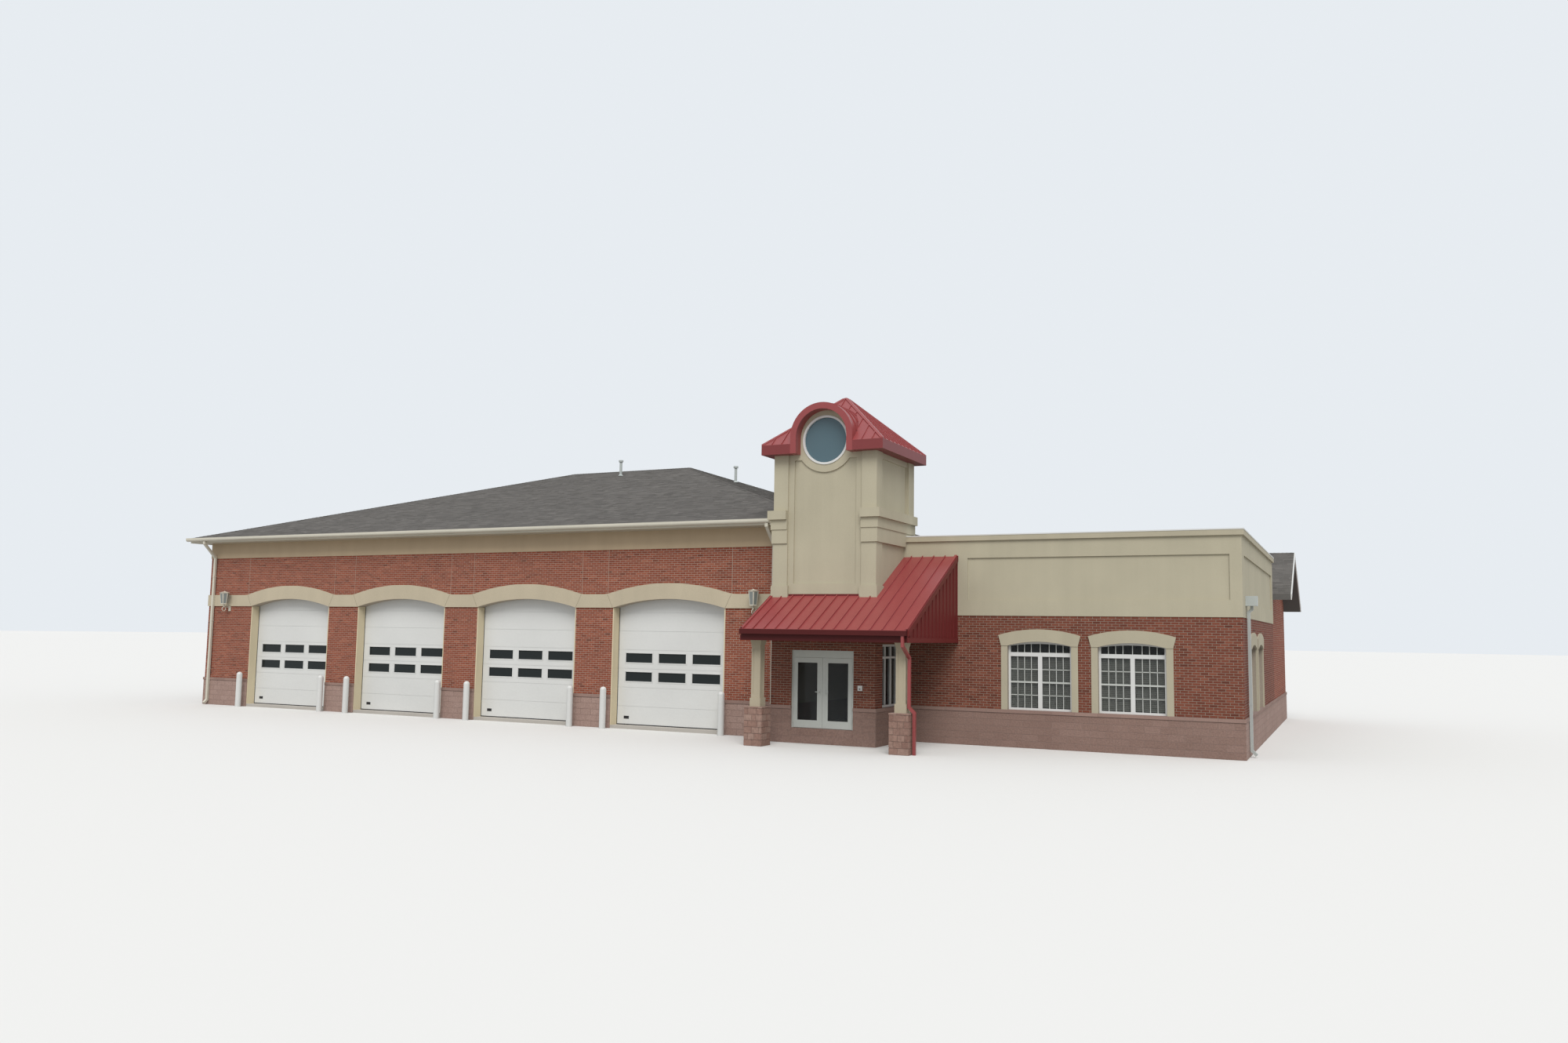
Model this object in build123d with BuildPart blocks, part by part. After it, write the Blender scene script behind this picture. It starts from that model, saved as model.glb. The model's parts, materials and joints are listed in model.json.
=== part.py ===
"""Fire station: apparatus bays, entrance tower and office wing. Millimetres, +Z up.

The origin is the left front corner of the bay walls at ground level.
+X runs along the front to the right, +Y runs into the building.
"""
import os
from math import atan2, degrees

from build123d import *

os.makedirs("parts", exist_ok=True)

# Levels above the ground
bay_floor_top = 100
office_floor_top = 424
base_top = 1032
arch_spring = 3776
brick_top = 5624
soffit_level = 6200
soffit_board = 25
eave_level = 6390

# Walls and the courses on them
wall = 330
base_out = 25
cap_height = 95
cap_out = 45
joint = 10
frieze_out = 20

# Apparatus bays
bay_length = 25650
bay_depth = 19820
bay_count = 4
first_pier = 2393
last_pier = 2173
opening_width = 4093
arch_rise = 280
band_height = 430
band_out = 40
crown_reach = 210
crown_rise = 340
crown_ease_ratio = 1.48

# Overhead doors
lining = 37
door_thickness = 50
door_lap = 60
light_width = 1000
light_height = 300
light_pitch = 1229
light_rows = (1615, 2205)
light_corner = 12
section_count = 7
section_height = 590
groove_width = 8
groove_depth = 8
glass = 8

# Bay roof
eave_overhang = 560
roof_slope = 0.324
roof_thickness = 250
gutter_width = 130
gutter_height = 130
gutter_curve = 80
gutter_outlet = 40
gutter_sheet = 8
gutter_gap = 410
spout_width = 100
spout_depth = 75
spout_margin = 290
elbow_drop = 90
shoe_level = 180
shoe_reach = 120
vent_radius = 55
vent_height = 650
vent_cap = (95, 70)
vent_flashing = (110, 60)
vent_places = ((13070, 8800), (18190, 9350))

# Tower
tower_lap = 410
tower_width = 3080
tower_front = -1017
tower_depth = 2914
tower_wall = 250
pilaster_width = 450
pilaster_out = 50
frame_width = 180
panel_recess = 40
plinth_bottom = 3900
plinth_top = 4400
plinth_out = 40
panel_bottom = 4456
panel_top = 7990
tower_eave = 8430
tower_fascia = 280
tower_overhang = 285
tower_rise = 1610
window_height = 8540
window_radius = 705
window_trim_width = 60
window_trim_out = 20
ring_radius = 920
hood_radius = 960
hood_thickness = 180
hood_lift = 70
hood_bite = 40
hood_clearance = 1
cornice_bottom = 5605
cornice_steps = ((398, 40), (287, 63), (255, 137))

# Entrance
canopy_soffit = 2850
doorway_offset = 599
doorway_width = 1887
doorway_top = 2605
frame_face = 45
frame_depth = 120
frame_setback = 30
header_height = 222
leaf_thickness = 45
leaf_clearance = 5
floor_clearance = 10
hinge_stile = 123
meeting_stile = 160
top_rail = 138
bottom_rail = 210
hinge_radius = 10
hinge_knuckle = 60
hinge_plate = 40
hinge_leaf = 4
hinge_play = 0.5
hinge_levels = (200, 900, 1600)
handle_level = 1000
handle_plate = (60, 160, 12)
lever_radius = 11
lever_length = 120
lever_out = 55
side_window_offset = 467
side_window_width = 1400
side_window_top = 2776
side_window_transom = 2380

# Canopy
canopy_lap = 100
canopy_width = 4800
canopy_run = 1812
canopy_eave_level = 3152
canopy_slope = 0.532
canopy_deck = 120
canopy_board = 60
seam_count = 14
seam_width = 25
seam_height = 40
canopy_gutter_width = 120
canopy_gutter_height = 130
column_inset = (277, 317)
column_setback = 512
pier_side = 523
pier_height = 1012
pier_cap = 40
pier_cap_out = 14
plinth_side = 318
plinth_height = 231
shaft_side = 266
shaft_panel = 164
shaft_panel_depth = 12
shaft_panel_margin = 90
capital_height = 150
capital_out = 35
canopy_spout_offset = 66
spout_kick = 150
spout_fall = 0.6

# Office wing
office_setback = 1263
office_length = 9227
office_depth = 11800
office_brick_top = 3629
office_wall = 300
stucco_out = 20
parapet_top = 5758
stucco_panel = 40
stucco_panel_bottom = 4080
stucco_panel_top = 5265
stucco_panel_margin = 300
stucco_panel_start = 1933
coping_height = 170
coping_out = 60
office_deck_level = 5100
office_deck = 150
office_slab = 150
window_width = 1770
window_spring = 2800
window_rise = 120
window_pitch = 2484
window_end = 1890
side_window_pitch = 2484
side_window_first = 2240
trim_width = 180
trim_out = 30
trim_header = 290
header_out = 45
header_flare = 75
header_rise = 170
window_frame = 60
window_mullion = 115
window_transom = 110
window_transom_level = 2509
window_depth = 80
window_setback = 100
conductor_head = (280, 350, 260)
conductor_top = 4205
conductor_place = 950

# Rear wing
rear_ridge = 6330
rear_slope = 0.5
rear_overhang = 450
rake_overhang = 600
rear_roof_thickness = 200
rake_board = 30

# Small fittings
bollard_radius = 100
bollard_height = 1300
bollard_distance = 300
bollard_offset = 80
lantern_drop = 36
lantern_reach = 280
lantern_radius = 120
lantern_flare = 55
lantern_height = 437
lantern_cap = 45
lantern_stem = 106
lantern_arm = 26
lantern_scroll = 75
lantern_ring = 20
lantern_plate = (110, 40, 180)

# Places that follow from the sizes above
tower_left = bay_length - tower_lap
tower_right = tower_left + tower_width
tower_back = tower_front + tower_depth
tower_middle = tower_left + tower_width / 2
bay_pitch = (tower_left - last_pier - opening_width - first_pier) / (bay_count - 1)
crown_flat = bay_pitch - opening_width - 2 * crown_reach
crown_ease = crown_flat * crown_ease_ratio
cornice_reach = cornice_steps[-1][1]
roof_stop = tower_left - pilaster_out - cornice_reach - joint
gutter_stop = tower_left - gutter_gap
entrance_left = tower_left - pilaster_out
entrance_right = tower_right + pilaster_out
entrance_front = tower_front - pilaster_out
entrance_face = entrance_front + frame_setback
cornice_top = cornice_bottom + sum(height for height, out in cornice_steps)
doorway_left = tower_left + doorway_offset
doorway_right = doorway_left + doorway_width
side_window_start = tower_front + side_window_offset
canopy_left = tower_left - canopy_lap
canopy_right = canopy_left + canopy_width
canopy_eave = tower_front - canopy_run
column_x = (canopy_left + column_inset[0], canopy_right - column_inset[1])
column_y = canopy_eave + column_setback
office_front = office_setback
office_right = tower_right + office_length
office_back = office_front + office_depth
last_window = office_right - window_end - window_width
window_starts = (last_window - window_pitch, last_window)
side_window_starts = (office_front + side_window_first,
                      office_front + side_window_first + side_window_pitch)

BASE = (Align.CENTER, Align.CENTER, Align.MIN)
HANGING = (Align.CENTER, Align.CENTER, Align.MAX)


def block(x, y, z, mode=Mode.ADD):
    """Add or take away a box that spans the three ranges."""
    with Locations((sum(x) / 2, sum(y) / 2, sum(z) / 2)):
        Box(x[1] - x[0], y[1] - y[0], z[1] - z[0], mode=mode)


def cut(x, y, z):
    block(x, y, z, Mode.SUBTRACT)


def save(piece, name):
    """Label one sub-part and write its file."""
    piece.part.label = name
    export_step(piece.part, f"parts/{name}.step")


def front_plane(y):
    """An upright plane that faces the front: local X along the front, local Y up."""
    return Plane(origin=(0, y, 0), x_dir=(1, 0, 0), z_dir=(0, -1, 0))


def right_plane(x):
    """An upright plane that faces right: local X runs back, local Y up."""
    return Plane(origin=(x, 0, 0), x_dir=(0, 1, 0), z_dir=(1, 0, 0))


def arch_segment(left, width, level, rise):
    """The face between a level chord and the arc that rises over it."""
    with BuildSketch() as segment:
        with BuildLine():
            Line((left, level), (left + width, level))
            ThreePointArc((left + width, level), (left + width / 2, level + rise), (left, level))
        make_face()
    return segment.sketch


def arched_face(left, width, bottom, spring, rise):
    """A face with straight sides and an arched top."""
    with BuildSketch() as face:
        with BuildLine():
            Polyline((left, spring), (left, bottom), (left + width, bottom), (left + width, spring))
            ThreePointArc((left + width, spring), (left + width / 2, spring + rise), (left, spring))
        make_face()
    return face.sketch


# Apparatus bays

# The two long faces: wall face, outward direction and right end of the wall
bay_faces = (
    (0, -1, tower_left),
    (bay_depth, 1, bay_length),
)


def depth_range(face, outward, out, thickness):
    """The Y range of a course that stands out from a wall face."""
    return tuple(sorted((face + outward * out, face - outward * thickness)))


def opening_left(number):
    return first_pier + number * bay_pitch


def pier_ranges(end):
    """The X ranges of the piers of a bay front that ends at the given place."""
    edges = [0]
    for number in range(bay_count):
        edges += [opening_left(number), opening_left(number) + opening_width]
    edges.append(end)
    return list(zip(edges[0::2], edges[1::2]))


def door_arches():
    return [arch_segment(opening_left(number), opening_width, arch_spring, arch_rise)
            for number in range(bay_count)]


def bay_floor():
    """The slab inside the walls, with a tongue through each door opening."""
    z = (0, bay_floor_top)
    with BuildPart() as floor:
        block((wall, bay_length - wall), (wall, bay_depth - wall), z)
        for number in range(bay_count):
            left = opening_left(number)
            block((left, left + opening_width), (0, bay_depth), z)
        cut((tower_left, bay_length), (0, tower_back), z)
    save(floor, "bay_floor")


def bay_ring(bottom, top, out, ends_at_openings):
    """A course round the bays, broken at the corners and, if asked, at the openings."""
    z = (bottom, top)
    for face, outward, end in bay_faces:
        ranges = pier_ranges(end) if ends_at_openings else [(0, end)]
        for left, right in ranges:
            if left == 0:
                left = -out
            if right == bay_length:
                right = bay_length + out
            block((left, right), depth_range(face, outward, out, wall), z)
    back = bay_depth - wall - joint
    block((-out, wall), (wall + joint, back), z)
    block((bay_length - wall, bay_length), (tower_back, back), z)


def entrance_base(z, out, sill):
    """The base round the entrance: two front piers, a step in the doorway and the sides."""
    front = (entrance_front - out, entrance_front + office_wall)
    start = front[1] + joint
    block((entrance_left - out, doorway_left), front, z)
    block((doorway_right, entrance_right + out), front, z)
    block((entrance_left - out, tower_left + office_wall), (start, -out - joint), z)
    block((tower_left, tower_left + office_wall), (-out - joint, tower_back), z)
    block((entrance_right - office_wall, entrance_right + out), (start, office_front - out - joint), z)
    if sill:
        block((doorway_left, doorway_right), front, (z[0], office_floor_top))


def base_course(name, bottom, top, out):
    """One course of the block base, round the bays, the entrance and the office wing."""
    z = (bottom, top)
    inner = office_right - office_wall
    right = office_right + out
    with BuildPart() as course:
        bay_ring(bottom, top, out, True)
        entrance_base(z, out, bottom == 0)
        block((entrance_right, right), (office_front - out, office_front + office_wall), z)
        block((inner, right),
              (office_front + office_wall + joint, bay_depth - office_wall - joint), z)
        block((bay_length + cap_out + joint, right), (bay_depth - office_wall, bay_depth + out), z)
    save(course, name)


def bay_walls():
    with BuildPart() as piers:
        for face, outward, end in bay_faces:
            for left, right in pier_ranges(end):
                block((left, right), depth_range(face, outward, 0, wall), (base_top, arch_spring))
    save(piers, "bay_piers")
    arches = door_arches()
    with BuildPart() as headers:
        for face, outward, end in bay_faces:
            block((0, end), depth_range(face, outward, 0, wall), (arch_spring, brick_top))
        with BuildSketch(front_plane(0)):
            add(arches)
        extrude(amount=-bay_depth, mode=Mode.SUBTRACT)
    save(headers, "bay_headers")
    back = bay_depth - wall - joint
    with BuildPart() as sides:
        block((0, wall), (wall + joint, back), (base_top, brick_top))
        block((bay_length - wall, bay_length), (tower_back, back), (base_top, brick_top))
    save(sides, "bay_side_walls")
    with BuildPart() as friezes:
        bay_ring(brick_top, soffit_level + soffit_board, frieze_out, False)
    save(friezes, "bay_friezes")


def bay_arch_bands():
    """The raised band that runs level over the piers and swells over each door."""
    band_top = arch_spring + band_height
    reach = opening_width + 2 * crown_reach
    starts = [opening_left(number) - crown_reach for number in range(bay_count)]
    arches = door_arches()
    crowns = [arch_segment(start, reach, band_top, crown_rise) for start in starts]
    kinks = [place for start in starts for place in (start, start + reach)]
    with BuildPart() as bands:
        for face, outward, end in bay_faces:
            with BuildSketch(front_plane(face + band_out if outward > 0 else face)) as outline:
                with BuildLine():
                    Polyline((-band_out, arch_spring), (end, arch_spring), (end, band_top),
                             (-band_out, band_top), close=True)
                make_face()
                add(crowns)
                eased = [corner for corner in outline.vertices()
                         if min(abs(corner.X - kink) for kink in kinks) < 1]
                fillet(eased, crown_ease)
                add(arches, mode=Mode.SUBTRACT)
            extrude(amount=band_out)
        block((-band_out, 0), (joint, bay_depth - joint), (arch_spring, band_top))
    save(bands, "bay_arch_bands")


def light_centres():
    """The six lights of each overhead door, three in each of two rows."""
    centres = []
    for number in range(bay_count):
        middle = opening_left(number) + opening_width / 2
        for side in (-1, 0, 1):
            for level in light_rows:
                centres.append((middle + side * light_pitch, level))
    return centres


def overhead_doors():
    """Sectional doors on the inner face of the walls, with glazed lights."""
    with BuildPart() as linings:
        for face, outward, end in bay_faces:
            y = depth_range(face, outward, 0, wall)
            for number in range(bay_count):
                left = opening_left(number)
                right = left + opening_width
                block((left, left + lining), y, (bay_floor_top, arch_spring))
                block((right - lining, right), y, (bay_floor_top, arch_spring))
    save(linings, "bay_door_linings")
    door_top = arch_spring + arch_rise + door_lap
    with BuildPart() as doors:
        for face, outward, end in bay_faces:
            outside = face - outward * wall
            y = depth_range(outside, outward, 0, door_thickness)
            groove = depth_range(outside, outward, 0, groove_depth)
            for number in range(bay_count):
                left = opening_left(number) - door_lap
                right = opening_left(number) + opening_width + door_lap
                block((left, right), y, (bay_floor_top, door_top))
                for section in range(1, section_count):
                    level = bay_floor_top + section * section_height
                    cut((left, right), groove, (level - groove_width, level))
        with BuildSketch(front_plane(0)):
            with Locations(*light_centres()):
                RectangleRounded(light_width, light_height, light_corner)
        extrude(amount=-bay_depth, mode=Mode.SUBTRACT)
    save(doors, "overhead_doors")
    with BuildPart() as panes:
        for face, outward, end in bay_faces:
            middle = face - outward * (wall + door_thickness / 2)
            with BuildSketch(front_plane(middle - glass / 2)):
                with Locations(*light_centres()):
                    RectangleRounded(light_width, light_height, light_corner)
            extrude(amount=-glass)
    save(panes, "overhead_door_glass")


def hip_body(x, y, bottom, edge, slope):
    """A hip roof body over a rectangle, with upright sides up to the edge level."""
    half = (y[1] - y[0]) / 2
    ridge = edge + half * slope
    with BuildPart() as hip:
        with BuildSketch(Plane.YZ.offset(x[0])):
            with BuildLine():
                Polyline((y[0], bottom), (y[1], bottom), (y[1], edge), (y[0] + half, ridge),
                         (y[0], edge), close=True)
            make_face()
        extrude(amount=x[1] - x[0])
        with BuildSketch(front_plane(y[0])):
            with BuildLine():
                Polyline((x[0], bottom), (x[1], bottom), (x[1], edge), (x[1] - half, ridge),
                         (x[0] + half, ridge), (x[0], edge), close=True)
            make_face()
        extrude(amount=y[0] - y[1], mode=Mode.INTERSECT)
    return hip.part


def bay_roof():
    """The hollow hip roof with boxed eaves, notched round the tower, and its vents."""
    eaves_x = (-eave_overhang, bay_length + eave_overhang)
    eaves_y = (-eave_overhang, bay_depth + eave_overhang)
    bottom = soffit_level + soffit_board
    inner_edge = eave_level + (eave_overhang + wall) * roof_slope - roof_thickness
    body = hip_body(eaves_x, eaves_y, bottom, eave_level, roof_slope)
    attic = hip_body((wall, bay_length - wall), (wall, bay_depth - wall), bottom,
                     inner_edge, roof_slope)
    with BuildPart() as roof:
        add(body)
        add(attic, mode=Mode.SUBTRACT)
        cut((tower_left, eaves_x[1]), (eaves_y[0], tower_back), (0, tower_eave))
        cut((roof_stop, eaves_x[1]), (eaves_y[0], -frieze_out), (0, tower_eave))
    save(roof, "bay_roof")
    with BuildPart() as vents:
        for x, y in vent_places:
            run = min(y, bay_length - x) + eave_overhang
            with Locations((x, y, eave_level + run * roof_slope)):
                Cylinder(vent_radius, 2 * vent_height)
                Cone(vent_flashing[0], vent_radius, vent_flashing[1], align=BASE)
            with Locations((x, y, eave_level + run * roof_slope + vent_height)):
                Cylinder(*vent_cap, align=HANGING)
        add(body, mode=Mode.SUBTRACT)
    save(vents, "roof_vents")


def gutter_profile():
    """The outline of the gutter: a flat bottom, a swept front and an upright lip."""
    width, height, curve = gutter_width, gutter_height, gutter_curve
    with BuildSketch() as outline:
        with BuildLine():
            Polyline((width, curve), (width, height), (0, height), (0, 0), (width - curve, 0))
            RadiusArc((width - curve, 0), (width, curve), -curve)
        make_face()
    return outline.sketch


def bay_eaves():
    z = (soffit_level, soffit_level + soffit_board)
    out = eave_overhang
    sides = (joint, bay_depth - joint)
    with BuildPart() as soffit:
        block((-out, roof_stop), (-out, -frieze_out), z)
        block((-out, bay_length + out), (bay_depth + frieze_out, bay_depth + out), z)
        block((-out, -frieze_out), sides, z)
        block((bay_length + frieze_out, bay_length + out), (tower_back, sides[1]), z)
    save(soffit, "bay_soffit")
    edge = eave_overhang + gutter_width
    level = eave_level - gutter_height
    back = bay_depth + out
    runs = (
        ((gutter_stop, -out), (0, -1), (-1, 0), gutter_stop + edge),
        ((-edge, back), (0, 1), (1, 0), bay_length + 2 * edge),
        ((-out, joint - out), (-1, 0), (0, 1), bay_depth + 2 * (out - joint)),
        ((bay_length + out, back - joint), (1, 0), (0, -1), back - tower_back - 2 * joint),
    )
    profile = gutter_profile()
    with BuildSketch() as channel_sketch:
        add(profile)
        offset(amount=-gutter_sheet, mode=Mode.REPLACE)
        with Locations((gutter_width / 2, gutter_height)):
            Rectangle(gutter_width - 2 * gutter_sheet, 2 * gutter_sheet)
    channel = channel_sketch.sketch
    with BuildPart() as gutter:
        for start, outward, along, length in runs:
            plane = Plane(origin=(*start, level), x_dir=(*outward, 0), z_dir=(*along, 0))
            with BuildSketch(plane):
                add(profile)
            extrude(amount=length)
            with BuildSketch(plane.offset(gutter_sheet)):
                add(channel)
            extrude(amount=length - 2 * gutter_sheet, mode=Mode.SUBTRACT)
    save(gutter, "bay_gutter")


def pipe(points, width, depth):
    """A rectangular pipe along the given points, starting downward."""
    with BuildPart() as run:
        with BuildLine() as path:
            Polyline(*points)
        with BuildSketch(Plane(origin=points[0], x_dir=(1, 0, 0), z_dir=(0, 0, -1))):
            Rectangle(width, depth)
        sweep(path=path.line, transition=Transition.RIGHT)
    return run.part


def bay_downspouts():
    """Downspouts from the gutter back to the wall and down to a shoe that turns outward."""
    top = eave_level - gutter_height
    gutter_y = eave_overhang + gutter_outlet
    wall_y = cap_out + spout_depth / 2
    bend = top - elbow_drop
    low_bend = bend - (gutter_y - wall_y)
    places = (
        (spout_margin, 0, -1),
        (gutter_stop - spout_width, 0, -1),
        (spout_margin, bay_depth, 1),
        (bay_length - spout_margin, bay_depth, 1),
    )
    pipes = []
    for x, face, outward in places:
        out_y = face + outward * gutter_y
        near_y = face + outward * wall_y
        pipes.append(pipe([(x, out_y, top), (x, out_y, bend), (x, near_y, low_bend),
                           (x, near_y, shoe_level),
                           (x, near_y + outward * shoe_reach, shoe_level - shoe_reach)],
                          spout_width, spout_depth))
    with BuildPart() as spouts:
        add(pipes)
    save(spouts, "bay_downspouts")


def wall_lanterns():
    """Six-sided lanterns on scrolled brackets, in the middle of each end pier."""
    arm = arch_spring - lantern_drop
    ends = pier_ranges(tower_left)
    shoulder = lantern_radius + lantern_flare
    with BuildPart() as lanterns:
        for left, right in (ends[0], ends[-1]):
            middle = (left + right) / 2
            body_base = arm + lantern_stem
            body_top = body_base + lantern_height
            with Locations((middle, -lantern_plate[1] / 2, arch_spring - joint)):
                Box(*lantern_plate, align=HANGING)
            with Locations((middle, -(lantern_reach + lantern_arm / 2) / 2, arm)):
                Box(lantern_arm, lantern_reach + lantern_arm / 2, lantern_arm)
            with BuildSketch(right_plane(middle - lantern_ring / 2)):
                with Locations((-lantern_reach, arm - lantern_scroll)):
                    Circle(lantern_scroll + lantern_ring / 2)
                    Circle(lantern_scroll - lantern_ring / 2, mode=Mode.SUBTRACT)
            extrude(amount=lantern_ring)
            with Locations((middle, -lantern_reach, arm)):
                Cylinder(lantern_arm, lantern_stem, align=BASE)
            for low, high, base, top in (
                (body_base, body_top, lantern_radius, shoulder),
                (body_top, body_top + lantern_cap, shoulder + lantern_arm, lantern_arm),
            ):
                with BuildSketch(Plane.XY.offset(low)):
                    with Locations((middle, -lantern_reach)):
                        RegularPolygon(base, 6)
                with BuildSketch(Plane.XY.offset(high)):
                    with Locations((middle, -lantern_reach)):
                        RegularPolygon(top, 6)
                loft()
            with Locations((middle, -lantern_reach, body_top + lantern_cap)):
                Sphere(lantern_ring)
    save(lanterns, "wall_lanterns")


def bollards():
    """Round posts with domed tops, one before each side of each door."""
    shoulder = bollard_height - bollard_radius
    with BuildPart() as posts:
        for number in range(bay_count):
            left = opening_left(number)
            for x in (left - bollard_offset, left + opening_width + bollard_offset):
                place = Plane(origin=(x, -bollard_distance, 0), x_dir=(1, 0, 0), z_dir=(0, -1, 0))
                with BuildSketch(place):
                    with BuildLine():
                        Polyline((0, bollard_height), (0, 0), (bollard_radius, 0),
                                 (bollard_radius, shoulder))
                        RadiusArc((bollard_radius, shoulder), (0, bollard_height),
                                  -bollard_radius)
                    make_face()
                revolve(axis=Axis((x, -bollard_distance, 0), (0, 0, 1)))
    save(posts, "bollards")


# Entrance


def entrance_walls():
    """The brick walls under the tower, split beside and over the doorway."""
    z = (base_top, canopy_soffit)
    front = (entrance_front, entrance_front + office_wall)
    start = front[1] + joint
    window_y = (side_window_start, side_window_start + side_window_width)
    right_wall = (entrance_right - office_wall, entrance_right)
    with BuildPart() as walls:
        block((entrance_left, doorway_left), front, z)
        block((doorway_right, entrance_right), front, z)
        block((tower_left, tower_left + office_wall), (start, tower_back), z)
        block(right_wall, (start, office_front + office_wall), z)
        cut(right_wall, window_y, (base_top, side_window_top))
    save(walls, "entrance_walls")
    with BuildPart() as lintel:
        block((doorway_left, doorway_right), front, (doorway_top, canopy_soffit))
    save(lintel, "entrance_lintel")


def hinge_axis_x(side):
    """Where each leaf turns: the middle of the gap at its outer edge."""
    if side == "left":
        return doorway_left + frame_face + leaf_clearance / 2
    return doorway_right - frame_face - leaf_clearance / 2


def knuckles(side, levels, reach):
    """Hinge knuckles on one side's axis, each with a plate that reaches sideways."""
    x = hinge_axis_x(side)
    y = entrance_face - hinge_radius
    for level in levels:
        with Locations((x, y, level)):
            Cylinder(hinge_radius, hinge_knuckle, align=BASE)
        block(tuple(sorted((x, x + reach))), (entrance_face - hinge_leaf, entrance_face),
              (level, level + hinge_knuckle))


def entrance_doors():
    """A glazed pair in a metal frame, hung on the jambs and opening outward."""
    middle = (doorway_left + doorway_right) / 2
    head = doorway_top - header_height
    y = (entrance_face, entrance_face + frame_depth)
    with BuildPart() as frame:
        block((doorway_left, doorway_right), y, (office_floor_top, doorway_top))
        cut((doorway_left + frame_face, doorway_right - frame_face), y, (office_floor_top, head))
    save(frame, "entrance_frame")
    door_y = (entrance_face, entrance_face + leaf_thickness)
    z = (office_floor_top + floor_clearance, head - leaf_clearance)
    step = hinge_knuckle + hinge_play
    centres = [z[0] + level for level in hinge_levels]
    outer = [level + shift for level in centres for shift in (-step, step)]
    with BuildPart() as fixed:
        knuckles("left", outer, -hinge_plate)
        knuckles("right", outer, hinge_plate)
    save(fixed, "entrance_hinges")
    left_leaf = (doorway_left + frame_face + leaf_clearance, middle - leaf_clearance / 2)
    right_leaf = (middle + leaf_clearance / 2, doorway_right - frame_face - leaf_clearance)
    for side, leaf_x, glass_x, inward in (
        ("left", left_leaf, (left_leaf[0] + hinge_stile, left_leaf[1] - meeting_stile), 1),
        ("right", right_leaf, (right_leaf[0] + meeting_stile, right_leaf[1] - hinge_stile), -1),
    ):
        glass_z = (z[0] + bottom_rail, z[1] - top_rail)
        with BuildPart() as leaf:
            block(leaf_x, door_y, z)
            cut(glass_x, door_y, glass_z)
            knuckles(side, centres, hinge_plate * inward)
        save(leaf, f"entrance_door_{side}")
        with BuildPart() as pane:
            centre = sum(door_y) / 2
            block(glass_x, (centre - glass / 2, centre + glass / 2), glass_z)
        save(pane, f"entrance_door_{side}_glass")
        entrance_handle(side, middle - inward * meeting_stile / 2, z[0] + handle_level, inward)


def entrance_handle(side, x, level, inward):
    """A lever on a tall plate; the lever points away from the meeting edge."""
    width, height, thickness = handle_plate
    with BuildPart() as handle:
        with Locations((x, entrance_face - thickness / 2, level)):
            Box(width, thickness, height)
        with BuildSketch(front_plane(entrance_face)):
            with Locations((x, level)):
                Circle(lever_radius)
        extrude(amount=lever_out)
        far = x - inward * lever_length
        block(tuple(sorted((x + inward * lever_radius, far))),
              (entrance_face - lever_out, entrance_face - lever_out + 2 * lever_radius),
              (level - lever_radius, level + lever_radius))
    save(handle, f"entrance_handle_{side}")


def side_window():
    """The frame and panes of the window beside the entrance."""
    y = (side_window_start, side_window_start + side_window_width)
    z = (base_top, side_window_top)
    x = (entrance_right - window_setback - window_depth, entrance_right - window_setback)
    third = (side_window_width - window_frame) / 3
    low = (z[0] + window_frame, side_window_transom)
    high = (side_window_transom + window_frame, z[1] - window_frame)
    middle = sum(x) / 2
    lights = []
    for number in range(3):
        start = y[0] + window_frame + number * third
        for level in (low, high):
            lights.append(((start, start + third - window_frame), level))
    with BuildPart() as frame:
        block(x, y, z)
        for across, level in lights:
            cut(x, across, level)
    with BuildPart() as panes:
        for across, level in lights:
            block((middle - glass / 2, middle + glass / 2), across, level)
    return frame.part, panes.part


# Tower


def stilted_arch(radius, bottom):
    """A half-round head on straight legs that run down to the given level."""
    head = window_height + hood_lift
    with BuildSketch() as face:
        with Locations((tower_middle, head)):
            Circle(radius)
        with Locations((tower_middle, head)):
            Rectangle(3 * radius, radius, align=(Align.CENTER, Align.MAX), mode=Mode.SUBTRACT)
        with Locations((tower_middle, head)):
            Rectangle(2 * radius, head - bottom, align=(Align.CENTER, Align.MAX))
    return face.sketch


def tower_walls():
    """The tower shell. Its front wall rises into the hood round the window."""
    z = (canopy_soffit, tower_eave)
    head = stilted_arch(hood_radius - hood_thickness, tower_eave)
    inset = pilaster_width - pilaster_out + frame_width
    with BuildPart() as front:
        with BuildSketch(front_plane(tower_front)):
            with Locations((tower_middle, sum(z) / 2)):
                Rectangle(tower_width, z[1] - z[0])
            add(head)
            with Locations((tower_middle, window_height)):
                Circle(window_radius, mode=Mode.SUBTRACT)
        extrude(amount=-tower_wall)
        with BuildSketch(front_plane(tower_front)):
            with Locations((tower_middle, (panel_bottom + panel_top) / 2)):
                Rectangle(tower_width - 2 * inset, panel_top - panel_bottom)
            with Locations((tower_middle, window_height)):
                Circle(ring_radius, mode=Mode.SUBTRACT)
        extrude(amount=-panel_recess, mode=Mode.SUBTRACT)
    save(front, "tower_front_wall")
    y = (tower_front + tower_wall, tower_back)
    with BuildPart() as shaft:
        block((tower_left, tower_right), y, z)
        cut((tower_left + tower_wall, tower_right - tower_wall), (y[0], y[1] - tower_wall), z)
        panel_y = (tower_front + pilaster_width, tower_back - pilaster_width)
        cut((tower_right - panel_recess, tower_right), panel_y, (cornice_top, panel_top))
    save(shaft, "tower_shaft")


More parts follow.
